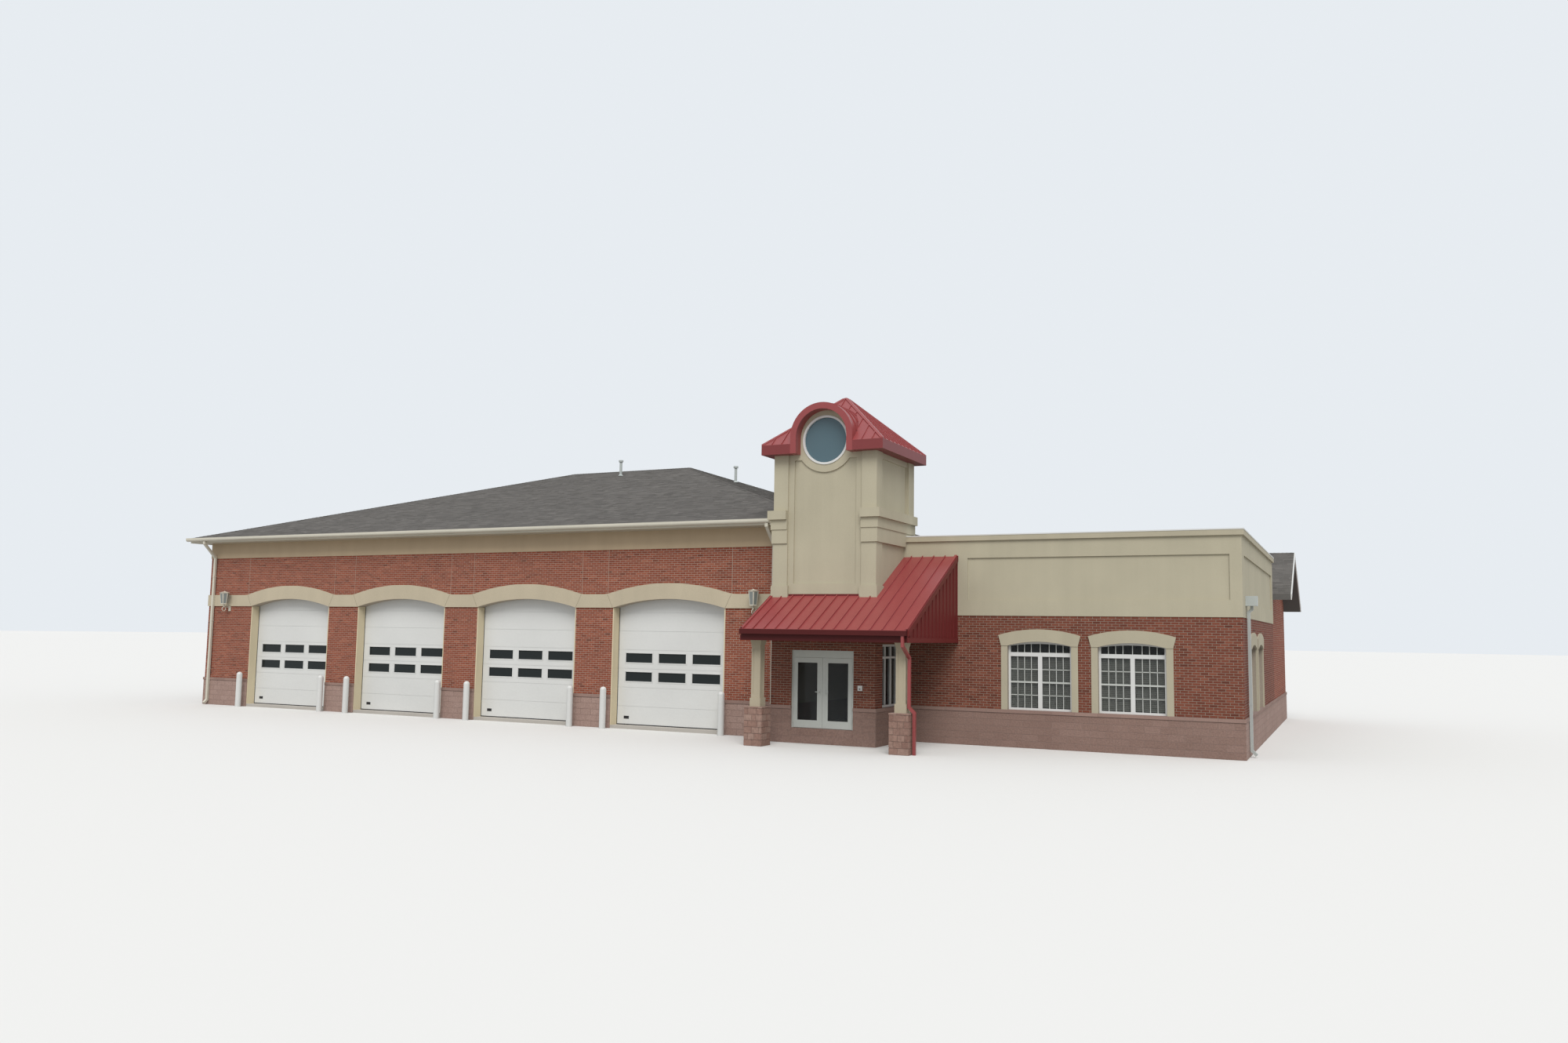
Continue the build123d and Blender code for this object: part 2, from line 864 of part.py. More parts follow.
def pilaster_corners():
    """The four corners: X range, Y range and lowest level of each pilaster."""
    left = (tower_left - pilaster_out, tower_left - pilaster_out + pilaster_width)
    right = (tower_right + pilaster_out - pilaster_width, tower_right + pilaster_out)
    front = (tower_front - pilaster_out, tower_front - pilaster_out + pilaster_width)
    back = (tower_back + pilaster_out - pilaster_width, tower_back + pilaster_out)
    bay_roof_there = eave_level + (tower_back + eave_overhang + pilaster_out) * roof_slope
    return (
        (left, front, plinth_bottom),
        (right, front, plinth_bottom),
        (left, back, bay_roof_there),
        (right, back, parapet_top + coping_height),
    )


def wider(span, amount):
    return (span[0] - amount, span[1] + amount)


def tower_pilasters():
    """Corner pilasters with plinths at the canopy."""
    core = ((tower_left, tower_right), (tower_front, tower_back))
    with BuildPart() as pilasters:
        for x, y, bottom in pilaster_corners():
            block(x, y, (bottom, tower_eave - tower_fascia))
            if bottom == plinth_bottom:
                block(wider(x, plinth_out), wider(y, plinth_out), (bottom, plinth_top))
        cut(*core, (plinth_bottom, tower_eave))
    save(pilasters, "tower_pilasters")


def tower_cornice():
    """Three stepped courses on the front pilasters, carried round the right face."""
    face = tower_front - pilaster_out
    left = tower_left - pilaster_out
    right = tower_right + pilaster_out
    shoulder = pilaster_width
    parapet_front = office_front - stucco_out - coping_out
    with BuildPart() as cornice:
        bottom = cornice_bottom
        for height, out in cornice_steps:
            z = (bottom, bottom + height)
            front = (face - out, face)
            block((left - out, left + shoulder), front, z)
            block((right - shoulder, right + out), front, z)
            block((left - out, left), (face - out, -frieze_out), z)
            block((left, tower_left), (face + shoulder, -frieze_out), z)
            block((right, right + out), (face - out, tower_back), z)
            block((tower_right, right), (face + shoulder, tower_back + pilaster_out), z)
            bottom = z[1]
        cut((tower_right, right + cornice_reach), (parapet_front, tower_back + pilaster_out),
            (cornice_bottom, parapet_top + coping_height))
        for x, y, bottom in pilaster_corners():
            cut(x, y, (bottom, tower_eave))
    save(cornice, "tower_cornice")


def tower_window():
    with BuildPart() as ring:
        with BuildSketch(front_plane(tower_front + panel_recess)):
            with Locations((tower_middle, window_height)):
                Circle(window_radius)
                Circle(window_radius - window_trim_width, mode=Mode.SUBTRACT)
        extrude(amount=panel_recess + window_trim_out)
    save(ring, "tower_window_ring")


def round_pane():
    with BuildPart() as pane:
        with BuildSketch(front_plane(tower_front + panel_recess)):
            with Locations((tower_middle, window_height)):
                Circle(window_radius)
        extrude(amount=-glass)
    return pane.part


def tower_roof():
    """A pyramid roof with an arched hood that breaks through its front eave."""
    half_x = tower_width / 2 + pilaster_out + tower_overhang
    half_y = tower_depth / 2 + pilaster_out + tower_overhang
    centre = (tower_middle, tower_front + tower_depth / 2)
    eave_front = centre[1] - half_y
    hood_top = window_height + hood_lift + hood_radius
    hood_depth = (hood_top - tower_eave) * half_y / tower_rise + hood_bite
    to_wall = tower_front - eave_front
    fascia_bottom = tower_eave - tower_fascia
    outer_low = stilted_arch(hood_radius, fascia_bottom)
    inner_low = stilted_arch(hood_radius - hood_thickness, fascia_bottom)
    outer_high = stilted_arch(hood_radius, tower_eave)
    inner_high = stilted_arch(hood_radius - hood_thickness, tower_eave)
    pocket = stilted_arch(hood_radius + hood_clearance, tower_eave)
    x = (centre[0] - half_x, centre[0] + half_x)
    y = (centre[1] - half_y, centre[1] + half_y)
    apex = tower_eave + tower_rise
    with BuildPart() as pyramid:
        with BuildSketch(Plane.YZ.offset(x[0])):
            with BuildLine():
                Polyline((y[0], tower_eave), (y[1], tower_eave), (centre[1], apex), close=True)
            make_face()
        extrude(amount=x[1] - x[0])
        with BuildSketch(front_plane(y[0])):
            with BuildLine():
                Polyline((x[0], tower_eave), (x[1], tower_eave), (centre[0], apex), close=True)
            make_face()
        extrude(amount=y[0] - y[1], mode=Mode.INTERSECT)
        with BuildSketch(front_plane(eave_front)):
            add(pocket)
        extrude(amount=-hood_depth - hood_clearance, mode=Mode.SUBTRACT)
    save(pyramid, "tower_roof")
    with BuildPart() as hood:
        with BuildSketch(front_plane(eave_front)):
            add(outer_low)
            add(inner_low, mode=Mode.SUBTRACT)
        extrude(amount=-to_wall)
        with BuildSketch(front_plane(eave_front)):
            add(outer_high)
            add(inner_high, mode=Mode.SUBTRACT)
        extrude(amount=-hood_depth)
    save(hood, "tower_arch_hood")
    with BuildPart() as fascia:
        with BuildSketch(Plane.XY.offset(fascia_bottom)):
            with Locations(centre):
                Rectangle(2 * half_x, 2 * half_y)
                Rectangle(tower_width, tower_depth, mode=Mode.SUBTRACT)
        extrude(amount=tower_fascia)
        with BuildSketch(front_plane(eave_front)):
            add(outer_low)
        extrude(amount=-to_wall, mode=Mode.SUBTRACT)
    save(fascia, "tower_fascia")


# Canopy


def roof_strip(x, back, bottom, top):
    """A strip that follows the canopy slope from the eave, between two offsets from it."""
    rise = (back - canopy_eave) * canopy_slope
    with BuildPart() as strip:
        with BuildSketch(Plane.YZ.offset(x[0])):
            with BuildLine():
                Polyline((canopy_eave, canopy_eave_level + bottom),
                         (back, canopy_eave_level + rise + bottom),
                         (back, canopy_eave_level + rise + top),
                         (canopy_eave, canopy_eave_level + top), close=True)
            make_face()
        extrude(amount=x[1] - x[0])
    return strip.part


def canopy():
    back = office_front - stucco_out
    x = (canopy_left, canopy_right)
    low = canopy_eave_level - canopy_deck
    strips = [roof_strip(x, back, -canopy_deck, 0)]
    for number in range(seam_count + 1):
        left = x[0] + number * (canopy_width - seam_width) / seam_count
        strips.append(roof_strip((left, left + seam_width), back, -seam_height, seam_height))
    high = (0, tower_eave)
    with BuildPart() as deck:
        add(strips)
        cut((x[0], tower_right), (tower_front, back), high)
        for corner_x, corner_y, bottom in pilaster_corners()[:2]:
            cut(wider(corner_x, plinth_out), wider(corner_y, plinth_out), high)
    save(deck, "canopy_roof")
    with BuildPart() as apron:
        block(x, (canopy_eave, canopy_eave + canopy_board), (canopy_soffit, low))
        for start, stop in ((x[0], entrance_front), (x[1] - canopy_board, back)):
            upper = low + (stop - canopy_eave) * canopy_slope
            with BuildSketch(Plane.YZ.offset(start)):
                with BuildLine():
                    Polyline((canopy_eave, canopy_soffit), (stop, canopy_soffit),
                             (stop, upper), (canopy_eave, low), close=True)
                make_face()
            extrude(amount=canopy_board)
        for corner_x, corner_y, bottom in pilaster_corners()[:1]:
            cut(wider(corner_x, plinth_out), wider(corner_y, plinth_out), (plinth_bottom, tower_eave))
    save(apron, "canopy_apron")
    board = (canopy_soffit, canopy_soffit + soffit_board)
    with BuildPart() as soffit:
        block(wider(x, -canopy_board), (canopy_eave + canopy_board, office_front), board)
        cut((x[0], entrance_right), (entrance_front, office_front), board)
    save(soffit, "canopy_soffit")
    z = (canopy_eave_level - canopy_gutter_height, canopy_eave_level)
    y = (canopy_eave - canopy_gutter_width, canopy_eave)
    s = gutter_sheet
    with BuildPart() as gutter:
        block(x, y, z)
        cut(wider(x, -s), wider(y, -s), (z[0] + s, z[1]))
    save(gutter, "canopy_gutter")
    down_x = column_x[1] + shaft_side / 2 + capital_out + (joint + spout_depth) / 2
    gutter_y = canopy_eave - canopy_gutter_width / 2
    foot_x = column_x[1] + pier_side / 2 + pier_cap_out + spout_depth
    side_y = column_y - canopy_spout_offset
    elbow = canopy_soffit - elbow_drop
    landing = elbow - (side_y - gutter_y) * spout_fall
    kick = pier_height + pier_cap + spout_kick
    spout = pipe([(down_x, gutter_y, z[0]), (down_x, gutter_y, elbow),
                  (down_x, side_y, landing), (down_x, side_y, kick),
                  (foot_x, side_y, kick - (foot_x - down_x)), (foot_x, side_y, 0)],
                 spout_depth, spout_depth)
    with BuildPart() as downspout:
        add(spout)
    save(downspout, "canopy_downspout")


def columns():
    """Square stone piers with panelled columns on them."""
    with BuildPart() as bases:
        for x in column_x:
            with Locations((x, column_y, 0)):
                Box(pier_side, pier_side, pier_height, align=BASE)
            with Locations((x, column_y, pier_height)):
                side = pier_side + 2 * pier_cap_out
                Box(side, side, pier_cap, align=BASE)
    save(bases, "canopy_column_bases")
    bottom = pier_height + pier_cap
    shaft_bottom = bottom + plinth_height
    shaft_top = canopy_soffit - capital_height
    panel = (shaft_bottom + shaft_panel_margin, shaft_top - shaft_panel_margin)
    flare = degrees(atan2(capital_out, capital_height))
    with BuildPart() as shafts:
        for x in column_x:
            with Locations((x, column_y, bottom)):
                Box(plinth_side, plinth_side, plinth_height, align=BASE)
            with Locations((x, column_y, shaft_bottom)):
                Box(shaft_side, shaft_side, shaft_top - shaft_bottom, align=BASE)
            with BuildSketch(Plane.XY.offset(shaft_top)):
                with Locations((x, column_y)):
                    Rectangle(shaft_side, shaft_side)
            extrude(amount=capital_height, taper=-flare)
            with Locations((x, column_y, sum(panel) / 2)):
                with PolarLocations((shaft_side - shaft_panel_depth) / 2, 4):
                    Box(shaft_panel_depth, shaft_panel, panel[1] - panel[0], mode=Mode.SUBTRACT)
    save(shafts, "canopy_columns")


# Office wing


# The two windowed walls: the plane of each outer face and where its windows start
window_walls = (
    (front_plane(office_front), window_starts),
    (right_plane(office_right), side_window_starts),
)


def window_openings(starts):
    return [arched_face(start, window_width, base_top, window_spring, window_rise)
            for start in starts]


def office_walls():
    left = bay_length
    front_y = (office_front, office_front + office_wall)
    rear_y = (office_back - office_wall, office_back)
    side_y = (front_y[1] + joint, rear_y[0] - joint)
    side_x = (office_right - office_wall, office_right)
    z = (base_top, office_brick_top)
    holes = [window_openings(starts) for plane, starts in window_walls]
    with BuildPart() as walls:
        block((entrance_right, office_right), front_y, z)
        block(side_x, side_y, z)
        block((left, office_right), rear_y, z)
        block((left + cap_out + joint, side_x[0] - joint), rear_y, (office_floor_top, base_top))
        for (plane, starts), openings in zip(window_walls, holes):
            with BuildSketch(plane):
                add(openings)
            extrude(amount=-office_wall, mode=Mode.SUBTRACT)
    save(walls, "office_walls")
    high = (office_brick_top, parapet_top)
    panel_z = (stucco_panel_bottom, stucco_panel_top)
    face = office_front - stucco_out
    side_face = office_right + stucco_out
    margin = stucco_panel_margin
    with BuildPart() as upper:
        block((tower_right, side_face), (face, front_y[1]), high)
        block((side_x[0], side_face), side_y, high)
        block((left, side_face), rear_y, high)
        cut((tower_right + stucco_panel_start, side_face - margin), (face, face + stucco_panel),
            panel_z)
        cut((side_face - stucco_panel, side_face), wider(side_y, -margin), panel_z)
    save(upper, "office_upper_walls")
    top = (parapet_top, parapet_top + coping_height)
    out = coping_out
    with BuildPart() as coping:
        block((tower_right, side_face + out), (face - out, front_y[1] + out), top)
        block((side_x[0] - out, side_face + out), wider(side_y, -out), top)
        block((left, side_face + out), wider(rear_y, out), top)
    save(coping, "parapet_coping")
    inside = (front_y[1], rear_y[0])
    deck_z = (office_deck_level, office_deck_level + office_deck)
    with BuildPart() as deck:
        block((left, side_x[0]), inside, deck_z)
        cut((left, tower_right + pilaster_out), (0, tower_back + pilaster_out), deck_z)
        block((tower_right, side_x[0]), inside, deck_z)
    save(deck, "office_roof_deck")
    slab = (office_floor_top - office_slab, office_floor_top)
    with BuildPart() as floor:
        block((left, side_x[0]), (front_y[1], bay_depth - wall), slab)
        block((tower_left + office_wall, entrance_right - office_wall),
              (entrance_front + office_wall, tower_back), slab)
    save(floor, "office_floor")


def office_downspout():
    """The conductor head on the side wall and the pipe that leads from it."""
    width, depth, height = conductor_head
    face = office_right + stucco_out
    y = office_front + conductor_place
    x = face + width / 2
    near = office_right + cap_out + spout_depth / 2
    bottom = conductor_top - height
    bend = bottom - elbow_drop
    leader = pipe([(x, y, bottom), (x, y, bend), (near, y, bend - (x - near)),
                   (near, y, shoe_level), (near + shoe_reach, y, shoe_level - shoe_reach)],
                  spout_depth, spout_width)
    with BuildPart() as spout:
        with Locations((x, y, conductor_top)):
            Box(width, depth, height, align=HANGING)
        add(leader)
    save(spout, "office_downspout")


def window_jambs(start):
    """The outline of the straight trim beside a window."""
    with BuildSketch() as outline:
        with Locations((start + window_width / 2, (base_top + window_spring) / 2)):
            Rectangle(window_width + 2 * trim_width, window_spring - base_top)
    return outline.sketch


def window_header(start):
    """The outline of the flared, crowned header over a window."""
    left = start - trim_width
    right = start + window_width + trim_width
    shoulder = window_spring + trim_header
    with BuildSketch() as outline:
        with BuildLine():
            Polyline((left - header_flare, shoulder), (left, window_spring),
                     (right, window_spring), (right + header_flare, shoulder))
            ThreePointArc((right + header_flare, shoulder),
                          ((left + right) / 2, shoulder + header_rise),
                          (left - header_flare, shoulder))
        make_face()
    return outline.sketch


def window_lights(start):
    """Three lights in one window: two below the transom and an arched one above."""
    upper = window_transom_level + window_transom
    glazed = arched_face(start + window_frame, window_width - 2 * window_frame,
                         base_top + window_frame, window_spring, window_rise - window_frame)
    with BuildSketch() as lights:
        add(glazed)
        with Locations((start + window_width / 2, upper)):
            Rectangle(window_mullion, upper, align=(Align.CENTER, Align.MAX), mode=Mode.SUBTRACT)
            Rectangle(window_width, window_transom, align=(Align.CENTER, Align.MAX),
                      mode=Mode.SUBTRACT)
    return lights.sketch


def window_sets():
    """Trim, frames and panes of all windows."""
    entrance_frame, entrance_panes = side_window()
    trims = []
    frames = [entrance_frame]
    panes = [entrance_panes, round_pane()]
    for plane, starts in window_walls:
        openings = window_openings(starts)
        lights = [window_lights(start) for start in starts]
        with BuildPart() as trim:
            for shape, out in ((window_jambs, trim_out), (window_header, header_out)):
                with BuildSketch(plane):
                    add([shape(start) for start in starts])
                    add(openings, mode=Mode.SUBTRACT)
                extrude(amount=out)
        trims.append(trim.part)
        with BuildPart() as frame:
            with BuildSketch(plane.offset(-window_setback)):
                add(openings)
                add(lights, mode=Mode.SUBTRACT)
            extrude(amount=-window_depth)
        frames.append(frame.part)
        with BuildPart() as pane:
            with BuildSketch(plane.offset(-window_setback - window_depth / 2)):
                add(lights)
            extrude(amount=-glass)
        panes.append(pane.part)
    for name, pieces in (("window_trim", trims), ("window_frames", frames),
                         ("window_glass", panes)):
        with BuildPart() as group:
            add(pieces)
        save(group, name)


# Rear wing


def rear_wing():
    """The small gabled wing behind the office wing."""
    width = bay_depth - office_back
    middle = office_back + width / 2
    t = rear_roof_thickness
    wall_top = rear_ridge - width / 2 * rear_slope - t
    x = (bay_length, office_right)
    end = office_right + rake_overhang
    with BuildPart() as walls:
        with BuildSketch(Plane.YZ.offset(office_right - office_wall)):
            with BuildLine():
                Polyline((office_back, base_top), (bay_depth, base_top), (bay_depth, wall_top),
                         (middle, rear_ridge - t), (office_back, wall_top), close=True)
            make_face()
        extrude(amount=office_wall)
        block((x[0] + cap_out, office_right - office_wall - joint),
              (bay_depth - office_wall, bay_depth), (base_top, wall_top))
    save(walls, "rear_wing_walls")
    start = office_back + coping_out
    eave = bay_depth + rear_overhang
    start_top = rear_ridge - (middle - start) * rear_slope
    eave_top = rear_ridge - (eave - middle) * rear_slope
    outline = ((start, start_top), (middle, rear_ridge), (eave, eave_top))
    under = [(y, z - t) for y, z in reversed(outline)]
    with BuildPart() as roof:
        with BuildSketch(Plane.YZ.offset(x[0])):
            with BuildLine():
                Polyline(*outline, *under, close=True)
            make_face()
        extrude(amount=end - x[0])
        cut((x[0], x[0] + eave_overhang + gutter_width + joint), (start, eave),
            (soffit_level - joint, rear_ridge))
    save(roof, "rear_wing_roof")
    with BuildPart() as rake:
        with BuildSketch(Plane.YZ.offset(end)):
            with BuildLine():
                Polyline(*outline, *under, close=True)
            make_face()
        extrude(amount=rake_board)
    save(rake, "rear_wing_rake_boards")


bay_floor()
base_course("base_walls", 0, base_top - cap_height, base_out)
base_course("base_caps", base_top - cap_height, base_top, cap_out)
bay_walls()
bay_arch_bands()
overhead_doors()
bay_roof()
bay_eaves()
bay_downspouts()
wall_lanterns()
bollards()
entrance_walls()
entrance_doors()
tower_walls()
tower_pilasters()
tower_cornice()
tower_window()
tower_roof()
canopy()
columns()
office_walls()
office_downspout()
window_sets()
rear_wing()
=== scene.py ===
"""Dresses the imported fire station: masonry, shingles, metal seams, window bars and blinds."""
import json
import math
import random
from collections import namedtuple

import bpy
import numpy as np
from mathutils import Matrix, Vector


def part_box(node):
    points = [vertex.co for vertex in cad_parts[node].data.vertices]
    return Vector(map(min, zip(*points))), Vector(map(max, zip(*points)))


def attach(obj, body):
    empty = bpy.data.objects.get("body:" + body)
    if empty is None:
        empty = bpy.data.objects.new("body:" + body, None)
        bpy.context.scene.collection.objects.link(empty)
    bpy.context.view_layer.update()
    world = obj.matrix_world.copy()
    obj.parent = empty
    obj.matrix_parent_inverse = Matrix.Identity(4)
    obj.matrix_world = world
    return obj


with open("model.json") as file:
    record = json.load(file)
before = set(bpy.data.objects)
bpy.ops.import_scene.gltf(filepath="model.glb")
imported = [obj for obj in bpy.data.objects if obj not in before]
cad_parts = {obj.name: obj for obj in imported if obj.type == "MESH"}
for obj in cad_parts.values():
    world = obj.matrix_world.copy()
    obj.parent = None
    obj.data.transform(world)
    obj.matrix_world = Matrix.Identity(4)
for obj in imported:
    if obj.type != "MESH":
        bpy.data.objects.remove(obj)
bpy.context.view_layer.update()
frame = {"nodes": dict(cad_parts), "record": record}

UP = Vector((0, 0, 1))
NEAR = 1e-3

# Camera, solved from the photograph's building corners: pixels, metres and degrees
PHOTO_SIZE = (2000, 1330)
FOCAL_PX = 1475.5
CAMERA_PLACE = (40.195, -30.672, 3.027)
CAMERA_YAW, CAMERA_PITCH, CAMERA_ROLL = 26.362, 5.552, 0.862
SENSOR = 36.0
CLIP_END = 500.0

# Light, background and floor
SKY_COLOUR = (0.94, 0.97, 1.0)
SKY_STRENGTH = 0.74
BACKDROP = (0.8, 0.84, 0.88)
SUN_COLOUR = (1.0, 0.98, 0.95)
SUN_ENERGY = 2.1
SUN_ANGLE, SUN_TILT, SUN_TURN = 35, 42, 26
FLOOR_SEEN = (0.74, 0.735, 0.72)
FLOOR_BOUNCE = (0.36, 0.35, 0.33)
FLOOR_ROUGHNESS = 0.95
FLOOR_HALF = 400.0

# Masonry units: length, height, how far they stand out, surface, slot and varying length
Unit = namedtuple("Unit", "length height proud look slot spread", defaults=(0.0,))
BRICK = Unit(0.2032, 0.0677, 0.005, "brick_units", "brick")
# The office's and entrance's brick is a darker copy of the brick: partly a darker brick blend,
# partly painted shade for the canopy over the entrance
DARK_BRICK = BRICK._replace(look="dark_brick_units")
# Two copies of one block: the bays' lighter with painted bounce light from the pale apron, the
# entrance's and office's darker with painted shade from the canopy and lawn
BLOCK = Unit(0.4064, 0.2032, 0.005, "block_units", "block_base")
SHADED_BLOCK = BLOCK._replace(look="shaded_block_units")
SILL_STONE = Unit(0.61, 0.095, 0.003, "cap_stones", "cast_stone")
PIER_STONE = Unit(0.23, 0.168, 0.012, "pier_stones", "block_base", 0.45)
PIER_CAP = Unit(0.2, 0.04, 0.003, "pier_stones", "block_base", 0.3)
PIER_CAP_OUT = 0.014
MORTAR = 0.0095
INSET = 0.002
SUNK = 0.002
SHORTEST = 0.03
CONTROL_JOINT = 0.014
PROUD_SPREAD = 0.15
COURSE_TINT, UNIT_TINT = 0.03, 0.17

# Roof shingles and their caps
EXPOSURE = 0.143
TAB = 0.305
TAB_SHARES = (0.55, 1.3)
TAB_TINT = 0.14
BUTT = 0.006
BUTT_SHARES = (1.0, 1.0, 1.9)
HEAD_LIFT = 0.001
THIN = 1e-4
CAP_HALF = 0.15
CAP_LIFT = 0.014
CAP_LAP = 1.15
CAP_FALL = 0.4
CAP_TINT = 0.2


# Readings from the frame


def corners_of(node):
    return [vertex.co for vertex in frame["nodes"][node].data.vertices]


def islands(node):
    """The boxes of a node's separate solids, sorted by Y, then X, then Z."""
    points = [tuple(round(c, 4) for c in place) for place in corners_of(node)]
    owner = {point: point for point in points}

    def root(point):
        while owner[point] != point:
            owner[point] = owner[owner[point]]
            point = owner[point]
        return point

    for polygon in frame["nodes"][node].data.polygons:
        first = root(points[polygon.vertices[0]])
        for index in polygon.vertices[1:]:
            owner[root(points[index])] = first
    groups = {}
    for point in owner:
        groups.setdefault(root(point), []).append(point)
    found = [(Vector(map(min, zip(*group))), Vector(map(max, zip(*group))))
             for group in groups.values()]
    return sorted(found, key=lambda box: (round(box[0].y, 2), round(box[0].x, 2), box[0].z))


def levels(node, axis, place):
    """The heights of a node's corners that lie at a place on an axis, the lowest first."""
    return sorted({round(corner.z, 4) for corner in corners_of(node)
                   if abs(corner[axis] - place) < NEAR})


FRONT_DEPTH = 1.0
base_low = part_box("base_caps")[0]
base_out, cap_out = -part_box("base_walls")[0].x, -base_low.x
band_low, band_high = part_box("bay_arch_bands")
band_flat_top = levels("bay_arch_bands", 0, band_low.x)[-1]
piers_low, piers_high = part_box("bay_piers")
brick_bottom, band_bottom = piers_low.z, piers_high.z
brick_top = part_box("bay_headers")[1].z
front_end = max(high.x for low, high in islands("bay_piers") if low.y < FRONT_DEPTH)
front_linings = [box for box in islands("bay_door_linings") if box[0].y < FRONT_DEPTH]
lining_width = front_linings[0][1].x - front_linings[0][0].x
openings = [(left[0].x, right[1].x)
            for left, right in zip(front_linings[0::2], front_linings[1::2])]
office_low, office_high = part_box("office_walls")
entrance_low, entrance_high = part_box("entrance_walls")
door_low, door_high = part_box("entrance_frame")
side_window = [box for box in islands("window_frames") if box[1].x < entrance_high.x][0]
rear_low, rear_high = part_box("rear_wing_walls")
rear_eave = levels("rear_wing_walls", 1, rear_high.y)[-1]
rear_middle = (rear_low.y + rear_high.y) / 2
gable_rate = (rear_high.z - rear_eave) / (rear_middle - rear_low.y)
shaft_low, shaft_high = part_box("tower_pilasters")
front_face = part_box("tower_front_wall")[0].y


# Materials, whose scales are per metre

BROAD_SCALE = 0.6
STREAK_SCALE, STREAK_STRETCH = 2.5, (1, 1, 0.06)
MOTTLE_ENDS, MOTTLE_DETAIL = (0.3, 0.7), 4.0
BUMP_DETAIL = 6.0
UNIT_BROAD_SCALE, UNIT_BROAD, UNIT_FINE = 0.5, 0.06, 0.16
UNIT_SHINE = 0.25
SHADE_PLACES = {2: (0, 1), 3: (0, 0.5, 1), 4: (0, 0.3, 0.7, 1)}
GLASS_ROUGHNESS = 0.03
BOARD_PITCH, BOARD_GROOVE, GROOVE_SHARE = 0.3, 0.004, 0.12


def feed(tree, socket, value):
    """Gives a socket a value, or a link where the value is another node's output."""
    if isinstance(value, bpy.types.NodeSocket):
        tree.links.new(value, socket)
    else:
        socket.default_value = (*value, 1) if socket.type == "RGBA" else value


def add_node(tree, kind, **inputs):
    node = tree.nodes.new(kind)
    for name, value in inputs.items():
        feed(tree, node.inputs[name], value)
    return node


def feed_shader(material, name, value):
    tree = material.node_tree
    feed(tree, tree.nodes["Principled BSDF"].inputs[name], value)


def new_material(name, colour, roughness, shine=0.5):
    material = bpy.data.materials.new(name)
    material.use_nodes = True
    feed_shader(material, "Base Color", colour)
    feed_shader(material, "Roughness", roughness)
    feed_shader(material, "Specular IOR Level", shine)
    return material


def object_place(tree):
    return add_node(tree, "ShaderNodeTexCoord").outputs["Object"]


def noise(tree, scale, detail, stretch=(1, 1, 1)):
    mapping = add_node(tree, "ShaderNodeMapping", Vector=object_place(tree), Scale=stretch)
    texture = add_node(tree, "ShaderNodeTexNoise", Vector=mapping.outputs["Vector"],
                       Scale=scale, Detail=detail)
    return texture.outputs["Fac"]


def ramp(tree, factor, stops):
    """A colour for each factor, by stops that are each a position and a colour."""
    node = add_node(tree, "ShaderNodeValToRGB", Fac=factor)
    elements = node.color_ramp.elements
    while len(elements) < len(stops):
        elements.new(0.5)
    for element, (position, colour) in zip(elements, stops):
        element.position = position
        element.color = (*colour, 1)
    return node.outputs["Color"]


def mix_colours(tree, blend, factor, first, second):
    node = tree.nodes.new("ShaderNodeMix")
    node.data_type = "RGBA"
    node.blend_type = blend
    for name, value in (("Factor", factor), ("A", first), ("B", second)):
        feed(tree, node.inputs[name], value)
    return node.outputs[2]


def mottle(material, under, scale, amount, stretch=(1, 1, 1)):
    """Varies a colour, or one that is linked already, lighter and darker."""
    tree = material.node_tree
    shades = [(end, (1 + change,) * 3) for end, change in zip(MOTTLE_ENDS, (-amount, amount))]
    shade = ramp(tree, noise(tree, scale, MOTTLE_DETAIL, stretch), shades)
    result = mix_colours(tree, "MULTIPLY", 1.0, under, shade)
    feed_shader(material, "Base Color", result)
    return result


def bump(material, height, distance):
    node = add_node(material.node_tree, "ShaderNodeBump", Strength=1.0, Distance=distance,
                    Height=height)
    feed_shader(material, "Normal", node.outputs["Normal"])


def grainy(material, grain, relief):
    bump(material, noise(material.node_tree, grain, BUMP_DETAIL), relief)


def plain(name, colour, roughness, fine=0.0, broad=0.0, relief=0.0, grain=60.0, streaks=0.0,
          shine=0.5):
    """One surface: its colour, fine, broad and running variation, and a grainy relief."""
    material = new_material(name, colour, roughness, shine)
    if broad:
        colour = mottle(material, colour, BROAD_SCALE, broad)
    if streaks:
        colour = mottle(material, colour, STREAK_SCALE, streaks, STREAK_STRETCH)
    if fine:
        mottle(material, colour, grain, fine)
    if relief:
        grainy(material, grain, relief)
    return material


def unit_material(name, shades, roughness, relief, grain):
    """A surface whose pieces each take their own shade from the mesh."""
    material = new_material(name, shades[0], roughness, UNIT_SHINE)
    shade = add_node(material.node_tree, "ShaderNodeAttribute")
    shade.attribute_name = "shade"
    stops = zip(SHADE_PLACES[len(shades)], shades)
    colour = ramp(material.node_tree, shade.outputs["Fac"], tuple(stops))
    mottle(material, mottle(material, colour, UNIT_BROAD_SCALE, UNIT_BROAD), grain, UNIT_FINE)
    grainy(material, grain, relief)
    return material


def glass_material(name, colour, alpha, shine=0.5):
    material = new_material(name, colour, GLASS_ROUGHNESS, shine)
    feed_shader(material, "Alpha", alpha)
    return material


def boards_material(name, colour, roughness):
    """A surface with narrow grooves pressed in along X."""
    material = new_material(name, colour, roughness)
    tree = material.node_tree
    wave = add_node(tree, "ShaderNodeTexWave", Vector=object_place(tree),
                    Scale=math.pi / (10 * BOARD_PITCH))
    wave.bands_direction = "X"
    groove = ramp(tree, wave.outputs["Fac"], ((0.0, (0, 0, 0)), (GROOVE_SHARE, (1, 1, 1))))
    bump(material, groove, BOARD_GROOVE)
    return material


